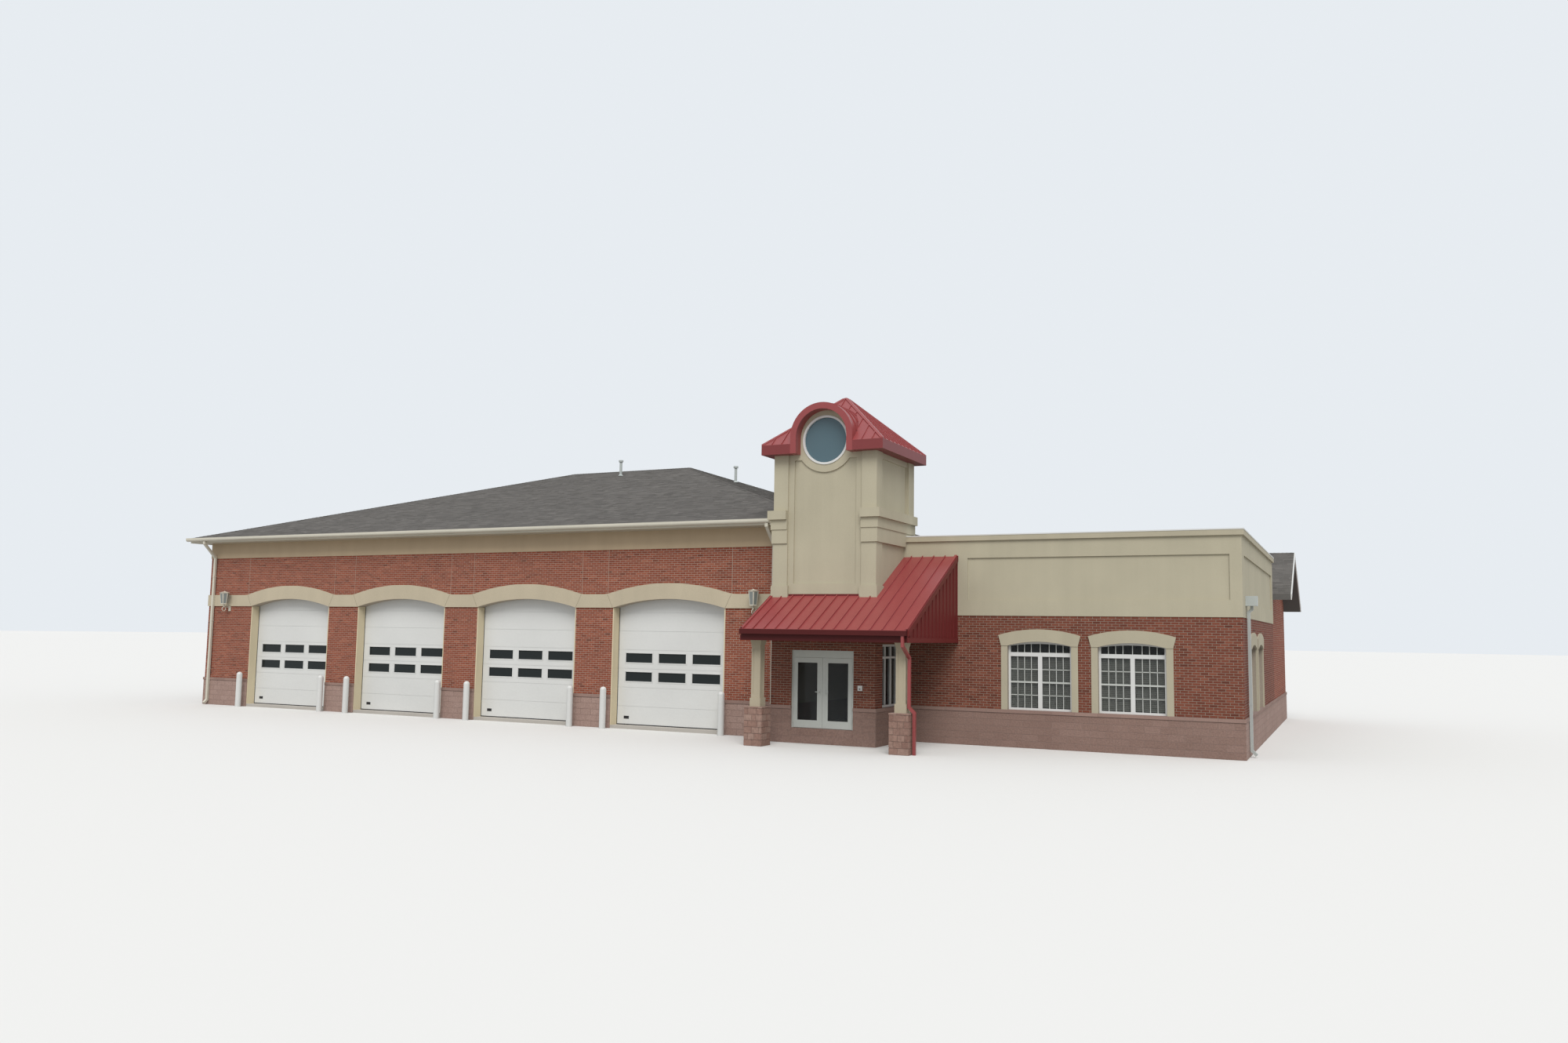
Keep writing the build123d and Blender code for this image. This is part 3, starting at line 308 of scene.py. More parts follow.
# Each surface that units share: its shades, roughness, relief and grain
UNIT_SURFACES = {
    "brick_units": (((0.15, 0.042, 0.025), (0.22, 0.061, 0.036), (0.285, 0.083, 0.048),
                     (0.355, 0.123, 0.074)), 0.85, 0.0015, 90.0),
    # The darker brick: partly its own darker blend, partly painted shade under the canopy
    "dark_brick_units": (((0.1, 0.03, 0.019), (0.15, 0.044, 0.027), (0.198, 0.061, 0.037),
                          (0.25, 0.09, 0.056)), 0.85, 0.0015, 90.0),
    # The two block surfaces are lit and shaded copies of one block: painted bounce light on the
    # first, painted shade on the second
    "block_units": (((0.325, 0.22, 0.187), (0.352, 0.242, 0.207), (0.38, 0.264, 0.228)),
                    0.9, 0.006, 26.0),
    "shaded_block_units": (((0.232, 0.15, 0.124), (0.254, 0.166, 0.138), (0.276, 0.183, 0.154)),
                         0.9, 0.006, 26.0),
    "pier_stones": (((0.2, 0.11, 0.088), (0.29, 0.18, 0.145), (0.38, 0.275, 0.23)),
                    0.9, 0.01, 16.0),
    "cap_stones": (((0.255, 0.165, 0.14), (0.32, 0.215, 0.182)), 0.85, 0.0012, 60.0),
    "shingle_tabs": (((0.083, 0.078, 0.073), (0.116, 0.109, 0.102), (0.16, 0.15, 0.14)),
                     0.95, 0.002, 120.0),
}

# Each plain surface: its colour, roughness and variation
SHEET = {"broad": 0.05, "fine": 0.02, "grain": 8.0}
PAINT = {"broad": 0.04, "fine": 0.02, "grain": 9.0}
STUCCO = {"broad": 0.05, "fine": 0.05, "grain": 110.0, "relief": 0.0015}
TRIM = {"broad": 0.05, "fine": 0.05, "relief": 0.0008, "streaks": 0.03}
ROUGH = {"fine": 0.12, "relief": 0.001}
PLAIN_SURFACES = {
    "brick": ((0.43, 0.37, 0.3), 0.95, ROUGH),
    # The darker brick's mortar: partly its own darker tone, partly painted shade under the canopy
    "dark_mortar": ((0.33, 0.28, 0.225), 0.95, ROUGH),
    "block_base": ((0.285, 0.2, 0.172), 0.95, {"fine": 0.12, "relief": 0.002}),
    "cast_stone": ((0.26, 0.18, 0.155), 0.85, {"fine": 0.08, "relief": 0.001}),
    "stucco_tan": ((0.447, 0.41, 0.303), 0.92, {**STUCCO, "streaks": 0.03}),
    "column_stucco": ((0.405, 0.352, 0.258), 0.92, STUCCO),
    "band_stone": ((0.49, 0.425, 0.312), 0.88, TRIM),
    "trim_stone": ((0.432, 0.392, 0.29), 0.88, TRIM),
    "reveal": ((0.64, 0.555, 0.385), 0.85, {**TRIM, "broad": 0.04, "fine": 0.03}),
    "frieze": ((0.46, 0.352, 0.23), 0.7, {"broad": 0.04, "fine": 0.03, "streaks": 0.03}),
    "shingles": ((0.12, 0.115, 0.11), 0.95, {"fine": 0.1}),
    "red_metal": ((0.28, 0.052, 0.052), 0.34, SHEET),
    "dark_red": ((0.14, 0.02, 0.02), 0.5, {**SHEET, "broad": 0.06, "shine": 0.25}),
    "fascia_red": ((0.2, 0.037, 0.038), 0.45, {**SHEET, "shine": 0.35}),
    # The gutter's red: the canopy's own dark red, darkened further with painted shade under the
    # canopy's edge
    "gutter_red": ((0.07, 0.009, 0.009), 0.55, {**SHEET, "broad": 0.06, "shine": 0.2}),
    "white_metal": ((0.66, 0.665, 0.65), 0.42, {"broad": 0.03, "fine": 0.012, "grain": 12.0}),
    "grey_metal": ((0.43, 0.462, 0.448), 0.45, PAINT),
    "cream_metal": ((0.59, 0.56, 0.47), 0.45, PAINT),
    "aluminium": ((0.5, 0.52, 0.49), 0.38, {"broad": 0.03, "fine": 0.02, "grain": 14.0}),
    "concrete": ((0.46, 0.43, 0.39), 0.9, {"broad": 0.08, "fine": 0.08, "relief": 0.001}),
    "dark_metal": ((0.16, 0.16, 0.16), 0.8, {"broad": 0.08, "fine": 0.05}),
    "blind": ((0.56, 0.57, 0.52), 0.8, {"broad": 0.05}),
    "grille": ((0.5, 0.52, 0.49), 0.5, {}),
    "rubber": ((0.022, 0.022, 0.024), 0.6, {"fine": 0.05}),
    "joint": ((0.2, 0.165, 0.115), 0.9, {"fine": 0.06}),
}
surfaces = {name: unit_material(name, *row) for name, row in UNIT_SURFACES.items()}
for name, (colour, roughness, variation) in PLAIN_SURFACES.items():
    surfaces[name] = plain(name, colour, roughness, **variation)
for name, *row in (("clear_glass", (0.03, 0.036, 0.038), 0.3, 0.35),
                   ("dark_glass", (0.014, 0.019, 0.02), 1.0, 0.18),
                   ("blue_glass", (0.085, 0.142, 0.17), 1.0, 0.35),
                   ("lamp_glass", (0.2, 0.22, 0.21), 1.0)):
    surfaces[name] = glass_material(name, *row)
surfaces["soffit"] = boards_material("soffit", (0.46, 0.42, 0.33), 0.6)

# A node takes its slot's surface, the brick slot's being the mortar, unless it is named here
LOOKS = {
    "dark_glass": ("overhead_door_glass",), "frieze": ("bay_friezes",),
    "band_stone": ("bay_arch_bands",), "reveal": ("bay_door_linings",),
    "trim_stone": ("window_trim", "parapet_coping"), "dark_red": ("canopy_apron",),
    "gutter_red": ("canopy_gutter",), "fascia_red": ("tower_fascia",),
    "soffit": ("bay_soffit", "canopy_soffit"), "column_stucco": ("canopy_columns",),
    "dark_mortar": ("office_walls", "entrance_walls", "entrance_lintel"),
    "grey_metal": ("office_downspout", "roof_vents"),
}
look_of = {row["node"]: row["material_slot"] for row in frame["record"]["subparts"]}
look_of.update((node, look) for look, nodes in LOOKS.items() for node in nodes)
for name, obj in frame["nodes"].items():
    obj.data.materials.clear()
    obj.data.materials.append(surfaces[look_of[name]])

# The round pane, the hall roof's edge and the apron's front take a second surface; the apron's
# front takes the gutter's darkened red as painted shade under the canopy's edge
for name, look, takes in (
        ("window_glass", "blue_glass", lambda face: face.center.z > office_high.z),
        ("bay_roof", "cream_metal", lambda face: face.normal.z < 0.3),
        ("canopy_apron", "gutter_red", lambda face: face.normal.y < -0.9)):
    data = frame["nodes"][name].data
    data.materials.append(surfaces[look])
    for polygon in data.polygons:
        if takes(polygon):
            polygon.material_index = 1


# Geometry helpers

# A prism's ends, then its sides, over the corners of its first end and those of its second
PRISM = ((0, 3, 2, 1), (4, 5, 6, 7), (0, 1, 5, 4), (1, 2, 6, 5), (2, 3, 7, 6), (3, 0, 4, 7))
FACINGS = {"front": (1, -1), "back": (1, 1), "left": (0, -1), "right": (0, 1)}


class Shape:
    """The points, faces and shades of one piece."""

    def __init__(self):
        self.points, self.faces, self.shades = [], [], []

    def add(self, points, faces, shade=None):
        base = len(self.points)
        self.points += points
        self.faces += [tuple(base + index for index in face) for face in faces]
        if shade is not None:
            self.shades += [shade] * len(faces)

    def bar(self, low, high, width, height, faces=PRISM):
        """Adds a straight bar between two places, with its section's two sides."""
        low, high, width, height = map(Vector, (low, high, width, height))
        if width.cross(height).dot(high - low) < 0:
            width = -width
        self.add([end + width * a / 2 + height * b / 2 for end in (low, high)
                  for a, b in ((-1, -1), (1, -1), (1, 1), (-1, 1))], faces)

    def make(self, name, look):
        """Turns the shape into a piece of the building."""
        mesh = bpy.data.meshes.new(name)
        mesh.from_pydata([tuple(point) for point in self.points], [], self.faces)
        mesh.materials.append(surfaces[look])
        if self.shades:
            attribute = mesh.attributes.new("shade", "FLOAT", "FACE")
            attribute.data.foreach_set("value", np.asarray(self.shades, np.float32))
        mesh.update()
        obj = add_object(name, mesh)
        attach(obj, "building")


def add_object(name, data):
    obj = bpy.data.objects.new(name, data)
    bpy.context.scene.collection.objects.link(obj)
    return obj


def rectangle(start, stop, low, high, shrink=0.0):
    """The corners of a rectangle, which may be drawn in on all sides."""
    return ((start + shrink, low + shrink), (stop - shrink, low + shrink),
            (stop - shrink, high - shrink), (start + shrink, high - shrink))


def boxes(name, spans, look):
    """One piece made of plain boxes, each given by its lowest and highest corner."""
    shape = Shape()
    for low, high in spans:
        shape.add([(x, y, z) for x in (low[0], high[0])
                   for y, z in rectangle(low[1], high[1], low[2], high[2])], PRISM)
    shape.make(name, look)


class Wall:
    """An upright wall face: places on it are a run along it, a level and a distance out."""

    def __init__(self, facing, place):
        self.axis, self.sign = FACINGS[facing]
        self.place = place
        self.flip = facing in ("left", "back")

    def point(self, run, level, out):
        across = self.place + self.sign * out
        return (run, across, level) if self.axis == 1 else (across, run, level)

    def box(self, start, stop, low, high, near, far):
        """A box on the face, as its lowest and highest corner."""
        ends = self.point(start, low, near), self.point(stop, high, far)
        return tuple(map(min, *ends)), tuple(map(max, *ends))

    def boxes_from(self, origin, spans):
        """Boxes whose runs are counted from a place along the face."""
        return [self.box(origin + start, origin + stop, *rest) for start, stop, *rest in spans]


def random_shade(chance, spread, tint=0.0):
    return min(max(chance.gauss(0.5, spread) + tint, 0), 1)


def course_units(start, stop, anchor, unit, chance):
    """The units of one course between two ends: the bond keeps its anchor, slivers merge."""
    places = [start]
    edge = anchor + math.floor((start - anchor) / unit.length) * unit.length + unit.length
    while edge < stop - SHORTEST:
        if edge - places[-1] > SHORTEST:
            places.append(edge)
        edge += unit.length * (1 + chance.uniform(-unit.spread, unit.spread))
    places.append(stop)
    half = MORTAR / 2
    return [(low + half * (low > start), high - half * (high < stop))
            for low, high in zip(places, places[1:])]


def masonry(name, facing, place, spans, bottom, top, unit, seed):
    """Courses of units in running bond over a wall's runs, or over those at each level."""
    chance = random.Random(seed)
    wall = Wall(facing, place)
    runs_at = spans if callable(spans) else lambda level: spans
    faces = [face[::-1] if wall.flip else face for face in PRISM[1:]]
    shape = Shape()
    count = max(1, round((top - bottom) / unit.height))
    height = (top - bottom) / count
    anchor = runs_at((bottom + top) / 2)[0][0]
    for course in range(count):
        low_z = bottom + course * height + MORTAR / 2
        high_z = low_z + height - MORTAR
        tint = chance.gauss(0, COURSE_TINT)
        shift = anchor + course % 2 * unit.length / 2
        for start, stop in runs_at((low_z + high_z) / 2):
            for low, high in course_units(start, stop, shift, unit, chance):
                out = unit.proud * (1 + chance.uniform(-PROUD_SPREAD, PROUD_SPREAD))
                corners = [wall.point(run, level, depth)
                           for depth, shrink in ((-SUNK, 0), (out, INSET))
                           for run, level in rectangle(low, high, low_z, high_z, shrink)]
                shape.add(corners, faces, random_shade(chance, UNIT_TINT, tint))
    shape.make(name, unit.look)


# Brick walls

ARCH_REACH = 0.21
TRIM_BITE = 0.16
HEADER_BITE = 0.26
TRIM_REACH = 0.01
RETURN_START = 0.3
REAR_GAP = 0.06


def between(low, high, gaps):
    """The runs between two ends, less the gaps."""
    places = [low, *(edge for gap in gaps for edge in gap), high]
    return list(zip(places[0::2], places[1::2]))


def around(low, high, holes):
    """The runs at a level, less the holes that it crosses: their ends, bottom and top."""
    return lambda level: between(low, high, [(left, right) for left, right, bottom, top in holes
                                             if bottom < level < top])


def trim_holes(axis):
    """The part of each window opening that its trim frames, on the front or on the side."""
    return [(low[axis] + TRIM_BITE, high[axis] - TRIM_BITE, low.z, high.z - HEADER_BITE)
            for low, high in islands("window_trim")
            if (high.y > office_low.y + TRIM_REACH) == axis]


def gable_spans(level):
    half = min((rear_high.z - level) / gable_rate, rear_middle - rear_low.y)
    return [(rear_middle - half, rear_middle + half)]


# The control joints stand at the feet of every door's arch
control_joints = [(foot - CONTROL_JOINT / 2, foot + CONTROL_JOINT / 2)
                  for left, right in openings for foot in (left - ARCH_REACH, right + ARCH_REACH)]
proud = BRICK.proud
depth_run = [(0.0, piers_high.y)]
side_hole = (side_window[0].y, side_window[1].y, 0, side_window[1].z)
for side, place, end in (("front", 0.0, front_end), ("back", piers_high.y, piers_high.x)):
    masonry(f"bricks_{side}_piers", side, place, between(-proud, end, openings),
            brick_bottom, band_bottom, BRICK, 11)
    masonry(f"bricks_{side}_upper", side, place, between(-proud, end, control_joints),
            band_flat_top, brick_top, BRICK, 12)
for title, *row in (
        ("left_lower", "left", 0.0, depth_run, brick_bottom, band_bottom, BRICK, 13),
        ("left_upper", "left", 0.0, depth_run, band_flat_top, brick_top, BRICK, 14),
        ("office_front", "front", office_low.y,
         around(entrance_high.x, office_high.x + proud, trim_holes(0)),
         brick_bottom, office_high.z, DARK_BRICK, 21),
        ("office_side", "right", office_high.x,
         around(office_low.y, office_high.y, trim_holes(1)),
         brick_bottom, office_high.z, DARK_BRICK, 22),
        ("entrance_front", "front", entrance_low.y,
         around(entrance_low.x - proud, entrance_high.x + proud,
                [(door_low.x, door_high.x, 0, door_high.z)]),
         brick_bottom, entrance_high.z, DARK_BRICK, 23),
        ("entrance_right", "right", entrance_high.x,
         around(entrance_low.y, office_low.y, [side_hole]),
         brick_bottom, entrance_high.z, DARK_BRICK, 24),
        ("entrance_left", "left", front_end, [(entrance_low.y + RETURN_START, 0)],
         brick_bottom, entrance_high.z, DARK_BRICK, 25),
        ("rear_gable", "right", rear_high.x, gable_spans,
         brick_bottom, rear_high.z - BRICK.height, BRICK, 26),
        ("rear_wall", "back", rear_high.y, [(piers_high.x + REAR_GAP, rear_high.x)],
         brick_bottom, rear_eave, BRICK, 27),
        ("bay_right", "right", piers_high.x, [(office_high.y, piers_high.y)],
         rear_eave, brick_top, BRICK, 28)):
    masonry(f"bricks_{title}", *row)


# Shingled roofs

FRONT_NEAR = 1.0
WING_COVER = 0.2


def shingles_on(title, start, along, rate, limits, depth, seed):
    """Courses of tabs on a roof plane, whose eave runs along from its start.

    limits(distance) gives a course's ends at that plan distance up from the eave."""
    chance = random.Random(seed)
    start, along = Vector(start), Vector((*along, 0))
    up = UP.cross(along)

    def point(run, distance, lift=0.0):
        return start + along * run + up * distance + UP * (rate * distance + lift)

    step = EXPOSURE / math.hypot(1, rate)
    shape = Shape()
    course = 0
    while course * step < depth:
        near = course * step
        far = min(near + step, depth)
        low, high = limits(near), limits(far)
        edge = min(low[0], high[0]) - chance.uniform(0, TAB)
        last = max(low[1], high[1])
        while edge < last:
            width = TAB * chance.uniform(*TAB_SHARES)
            a, b, c, d = (min(max(place, ends[0]), ends[1]) for ends in (low, high)
                          for place in (edge, edge + width))
            edge += width
            if b - a < THIN and d - c < THIN:
                continue
            butt = BUTT * chance.choice(BUTT_SHARES)
            faces = ((2, 3, 4, 5), (0, 2, 5), (1, 4, 3), (0, 1, 3, 2))
            shape.add([point(a, near), point(b, near), point(a, near, butt), point(b, near, butt),
                       point(d, far, HEAD_LIFT), point(c, far, HEAD_LIFT)],
                      faces if b - a >= THIN else faces[:-1], random_shade(chance, TAB_TINT))
        course += 1
    shape.make(f"shingles_{title}", "shingle_tabs")


def caps_on(name, runs):
    """Folded caps along hips and ridges: each run is its ends and its two side offsets.

    The caps of a hip, which rises to its end, narrow there."""
    chance = random.Random(5)
    shape = Shape()
    for run in runs:
        start, stop, first, second = map(Vector, run)
        count = max(1, round((stop - start).length / EXPOSURE))
        for number in range(count):
            points = []
            for share, lift in ((number / count, CAP_LIFT),
                                (min((number + CAP_LAP) / count, 1), CAP_LIFT * CAP_FALL),
                                (number / count, 0)):
                width = 1
                if stop.z > start.z:
                    width = min(1, (1 - share) * abs(stop.x - start.x) / CAP_HALF)
                middle = start.lerp(stop, share) + UP * lift
                points += [middle + first * width, middle, middle + second * width]
            shape.add(points, ((3, 4, 1, 0), (4, 5, 2, 1), (0, 1, 7, 6), (1, 2, 8, 7)),
                      random_shade(chance, CAP_TINT))
    shape.make(name, "shingle_tabs")


roof_low, roof_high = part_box("bay_roof")
roof_eave = levels("bay_roof", 0, roof_low.x)[-1]
half_depth = (roof_high.y - roof_low.y) / 2
roof_rate = (roof_high.z - roof_eave) / half_depth
roof_width = roof_high.x - roof_low.x
roof_middle = roof_low.y + half_depth
roof_stop = min(corner.x for corner in corners_of("bay_roof")
                if corner.y < roof_low.y + NEAR and corner.x > front_end - FRONT_NEAR)
front_left, front_right, back_right, back_left = (
    (*place, roof_eave) for place in rectangle(roof_low.x, roof_high.x, roof_low.y, roof_high.y))
ridge_left = (roof_low.x + half_depth, roof_middle, roof_high.z)
ridge_right = (roof_high.x - half_depth, roof_middle, roof_high.z)
tower_run = roof_high.x - front_end
wing_low, wing_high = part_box("rear_wing_roof")
wing_eave = levels("rear_wing_roof", 1, wing_high.y)[-1]
wing_foot = levels("rear_wing_roof", 1, wing_low.y)[-1]
wing_rate = (wing_high.z - wing_eave) / (wing_high.y - rear_middle)
wing_length = wing_high.x - wing_low.x
wing_start = min(corner.x for corner in corners_of("rear_wing_roof")
                 if corner.z > wing_high.z - NEAR) - wing_low.x
wing_cut = roof_eave - WING_COVER


def front_limits(distance):
    right = roof_width - distance
    across = roof_low.y + distance
    if across < 0:
        right = min(right, roof_stop - roof_low.x)
    elif across < shaft_high.y:
        right = min(right, front_end - roof_low.x)
    return distance, right


def right_limits(distance):
    left = distance
    if roof_high.x - distance > shaft_low.x:
        left = max(left, shaft_high.y - roof_low.y)
    return left, 2 * half_depth - distance


def wing_covered(foot, distance):
    """How far a course on the wing lies under the hall's roof."""
    return wing_start if foot + distance * wing_rate > wing_cut else 0


for seed, row in enumerate((
        ("front", front_left, (1, 0), roof_rate, front_limits),
        ("right", front_right, (0, 1), roof_rate, right_limits),
        ("back", back_right, (-1, 0), roof_rate,
         lambda distance: (distance, roof_width - distance)),
        ("left", back_left, (0, -1), roof_rate,
         lambda distance: (distance, 2 * half_depth - distance)))):
    shingles_on(*row, half_depth, 31 + seed)
across, inward, down = (Vector((CAP_HALF, 0, 0)), Vector((0, CAP_HALF, 0)),
                        Vector((0, 0, -CAP_HALF)))
caps_on("hip_caps", [
    (front_left, ridge_left, across, inward),
    ((front_end, roof_low.y + tower_run, roof_eave + tower_run * roof_rate), ridge_right,
     inward, -across),
    (back_right, ridge_right, -across, -inward),
    (back_left, ridge_left, -inward, across),
    (ridge_left, ridge_right, down * roof_rate - inward, down * roof_rate + inward)])
shingles_on("wing_front", (wing_low.x, wing_low.y, wing_foot), (1, 0), wing_rate,
            lambda distance: (wing_covered(wing_foot, distance), wing_length),
            rear_middle - wing_low.y, 35)
shingles_on("wing_back", (wing_high.x, wing_high.y, wing_eave), (-1, 0), wing_rate,
            lambda distance: (0, wing_length - wing_covered(wing_eave, distance)),
            wing_high.y - rear_middle, 36)
caps_on("wing_ridge_caps", [
    ((wing_low.x + wing_start, rear_middle, wing_high.z), (wing_high.x, rear_middle, wing_high.z),
     down * wing_rate - inward, down * wing_rate + inward)])


# Seams and hip caps of the tower's roof

SEAM_PITCH = 0.31
SEAM = (0.022, 0.032)
SEAM_SUNK = 0.002
SEAM_EDGE = 0.05
SEAM_SHORTEST = 0.03
HOOD_STEPS = 40
HIP_CAP = (0.085, 0.036)
pyramid_low, pyramid_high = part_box("tower_roof")
pyramid_rise = pyramid_high.z - pyramid_low.z
apex = Vector(((pyramid_low.x + pyramid_high.x) / 2, (pyramid_low.y + pyramid_high.y) / 2,
               pyramid_high.z))
hood_low, hood_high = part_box("tower_arch_hood")
hood_radius = (hood_high.x - hood_low.x) / 2
hood_middle = (hood_high.x + hood_low.x) / 2
hood_head = hood_high.z - hood_radius


def hood_height(x):
    """How high the hood's outer surface is over a place across the front."""
    aside = abs(x - hood_middle)
    if aside >= hood_radius:
        return 0.0
    return hood_head + math.sqrt(hood_radius ** 2 - aside ** 2)


def add_pyramid_seams():
    shape = Shape()
    for axis, other in ((0, 1), (1, 0)):
        half = (pyramid_high[axis] - pyramid_low[axis]) / 2
        depth = (pyramid_high[other] - pyramid_low[other]) / 2
        side = Vector((0, 0, 0))
        side[axis] = SEAM[0]
        count = int((half - SEAM_EDGE) / SEAM_PITCH)
        for number in range(-count, count + 1):
            place = apex[axis] + number * SEAM_PITCH
            head = 1 - (abs(number * SEAM_PITCH) + HIP_CAP[0]) / half
            for sign in (-1, 1):
                foot = 0.0
                if axis == 0 and sign == -1:
                    foot = max(0.0, (hood_height(place) - pyramid_low.z) / pyramid_rise)
                if foot > head - SEAM_SHORTEST:
                    continue
                ends = []
                for share in (foot, head):
                    end = UP * (pyramid_low.z + pyramid_rise * share + SEAM[1] / 2)
                    end[axis] = place
                    end[other] = apex[other] + sign * depth * (1 - share)
                    ends.append(end)
                shape.bar(*ends, side, UP * SEAM[1], PRISM[:2] + PRISM[3:])
    shape.make("tower_roof_seams", "red_metal")


def add_hood_seams():
    """Seams that run over the barrel of the hood, as far as it stands out of the roof."""
    shape = Shape()
    rate = pyramid_rise / (apex.y - pyramid_low.y)
    inner, outer = hood_radius - SEAM_SUNK, hood_radius + SEAM[1]
    place = hood_low.y + SEAM_PITCH
    while place < hood_high.y:
        roof = pyramid_low.z + (place - pyramid_low.y) * rate
        for number in range(HOOD_STEPS):
            near, far = (Vector((math.cos(turn), 0, math.sin(turn)))
                         for turn in (math.pi * number / HOOD_STEPS,
                                      math.pi * (number + 1) / HOOD_STEPS))
            ring = [Vector((hood_middle, place, hood_head)) + outward * radius
                    for outward, radius in ((far, inner), (far, outer), (near, outer),
                                            (near, inner))]
            if min(point.z for point in ring) >= roof:
                shape.add([point + Vector((0, shift, 0)) for shift in (-SEAM[0] / 2, SEAM[0] / 2)
                           for point in ring], PRISM[:-1])
        place += SEAM_PITCH
    shape.make("hood_seams", "red_metal")


def add_pyramid_caps():
    """Folded caps over the pyramid's hips, which narrow to nothing at the apex."""
    shape = Shape()
    for x in (pyramid_low.x, pyramid_high.x):
        for y in (pyramid_low.y, pyramid_high.y):
            corner = Vector((x, y, pyramid_low.z))
            sides = [Vector((math.copysign(HIP_CAP[0], apex.x - x), 0, 0)), Vector((0, 0, 0)),
                     Vector((0, math.copysign(HIP_CAP[0], apex.y - y), 0))]
            if (x - apex.x) * (y - apex.y) > 0:
                sides.reverse()
            narrow = 1 - HIP_CAP[0] / min(abs(apex.x - x), abs(apex.y - y))
            points = [corner.lerp(apex, share) + side + UP * lift for share in (0, narrow)
                      for side in sides for lift in (0, HIP_CAP[1])]
            shape.add(points + [apex], (
                (1, 3, 9, 7), (3, 5, 11, 9), (0, 1, 7, 6), (4, 10, 11, 5), (0, 2, 3, 1),
                (2, 4, 5, 3), (7, 9, 12), (9, 11, 12), (6, 7, 12), (11, 10, 12)))
    shape.make("tower_hip_caps", "red_metal")


add_pyramid_seams()
add_hood_seams()
add_pyramid_caps()


# Base blocks, sill course and pier stones


def base_faces(out):
    """Every outer face of a base course: its name, facing, plane and runs."""
    return (
        ("bay_front", "front", -out, between(-out, front_end, openings)),
        ("back", "back", piers_high.y + out, between(-out, rear_high.x + out, openings)),
        ("bay_left", "left", -out, depth_run),
        ("entrance_front", "front", entrance_low.y - out,
         [(entrance_low.x - out, door_low.x), (door_high.x, entrance_high.x + out)]),
        ("entrance_right", "right", entrance_high.x + out, [(entrance_low.y, office_low.y - out)]),
        ("entrance_left", "left", entrance_low.x - out, [(entrance_low.y, -out)]),
        ("office_front", "front", office_low.y - out, [(entrance_high.x, office_high.x + out)]),
        ("right", "right", office_high.x + out, [(office_low.y, piers_high.y)]),
    )


for seed, (title, *row) in enumerate(base_faces(base_out)):
    # The entrance and office take the block's copy with painted shade, the other faces the copy
    # with painted bounce light
    unit = SHADED_BLOCK if title.startswith(("entrance", "office")) else BLOCK
    masonry(f"blocks_{title}", *row, 0.0, base_low.z, unit, 41 + seed)
masonry("blocks_doorway_step", "front", entrance_low.y - base_out, [(door_low.x, door_high.x)],
        0.0, door_low.z, SHADED_BLOCK, 49)
for seed, (title, *row) in enumerate(base_faces(cap_out)):
    masonry(f"caps_{title}", *row, base_low.z, brick_bottom, SILL_STONE, 51 + seed)
pier_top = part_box("canopy_columns")[0].z
pier_cap_foot = pier_top - PIER_CAP.height
for number, (low, high) in enumerate(islands("canopy_column_bases")):
    middle = (low + high) / 2
    side = (high.x - low.x - 2 * PIER_CAP_OUT) / 2
    for facing, (axis, sign) in FACINGS.items():
        across, along = middle[axis], middle[1 - axis]
        for title, reach, bottom, top, unit, seed in (
                ("stones", side, 0.0, pier_cap_foot, PIER_STONE, 61),
                ("pier_caps", side + PIER_CAP_OUT, pier_cap_foot, pier_top, PIER_CAP, 65)):
            masonry(f"{title}_{number}_{facing}", facing, across + sign * reach,
                    [(along - reach, along + reach)], bottom, top, unit, seed + number)


# Window bars and blinds

BAR = (0.019, 0.012)
MEETING_RAIL = 0.045
SLAT_PITCH = 0.05
SLAT = (0.003, 0.034)
SLAT_COVER = 0.8
BLIND_GAP = 0.05
BLIND_SIDE = 0.02
LOWER_PANE = 0.3
ARCH_SAG = 0.06
ARCH_LAP = 0.012


def add_windows():
    """Bars on the office's panes: three each way below, and upright ones under the arch."""
    bars = []
    slats = []
    upper_panes = []
    runs_of = {}
    for low, high in islands("window_glass"):
        axis = int(high.y - low.y > high.x - low.x)
        wall = Wall("right", high.x) if axis else Wall("front", low.y)
        start, stop = low[axis], high[axis]
        if low.z > office_high.z or (axis and high.x < entrance_high.x):
            continue
        if low.z >= brick_bottom + LOWER_PANE:
            upper_panes.append((wall, start, stop, low.z, high.z))
            continue
        runs = runs_of.setdefault((wall.axis, round(wall.place, 3)), [])
        for part in (1, 2, 3):
            run = start + (stop - start) * part / 4
            runs.append(run)
            bars.append(wall.box(run - BAR[0] / 2, run + BAR[0] / 2, low.z, high.z, 0, BAR[1]))
            wide, deep = (MEETING_RAIL, 2 * BAR[1]) if part == 2 else BAR
            level = low.z + (high.z - low.z) * part / 4
            bars.append(wall.box(start, stop, level - wide / 2, level + wide / 2, 0, deep))
        level = low.z + SLAT_PITCH / 2
        while level < high.z:
            for thick, near, far in ((SLAT[0], SLAT[1], 0),
                                     (SLAT_PITCH * SLAT_COVER, SLAT[1] + SLAT[0], SLAT[1])):
                slats.append(wall.box(start - BLIND_SIDE, stop + BLIND_SIDE, level, level + thick,
                                      -BLIND_GAP - near, -BLIND_GAP - far))
            level += SLAT_PITCH
    for wall, start, stop, low_z, high_z in upper_panes:
        centre = (start + stop) / 2
        runs = runs_of[(wall.axis, round(wall.place, 3))]
        for run in [run for run in runs if start < run < stop] + [centre]:
            sag = ARCH_SAG * ((run - centre) / (stop - centre)) ** 2
            bars.append(wall.box(run - BAR[0] / 2, run + BAR[0] / 2, low_z,
                                 high_z - sag + ARCH_LAP, 0, BAR[1]))
    boxes("window_bars", bars, "grille")
    boxes("blinds", slats, "blind")


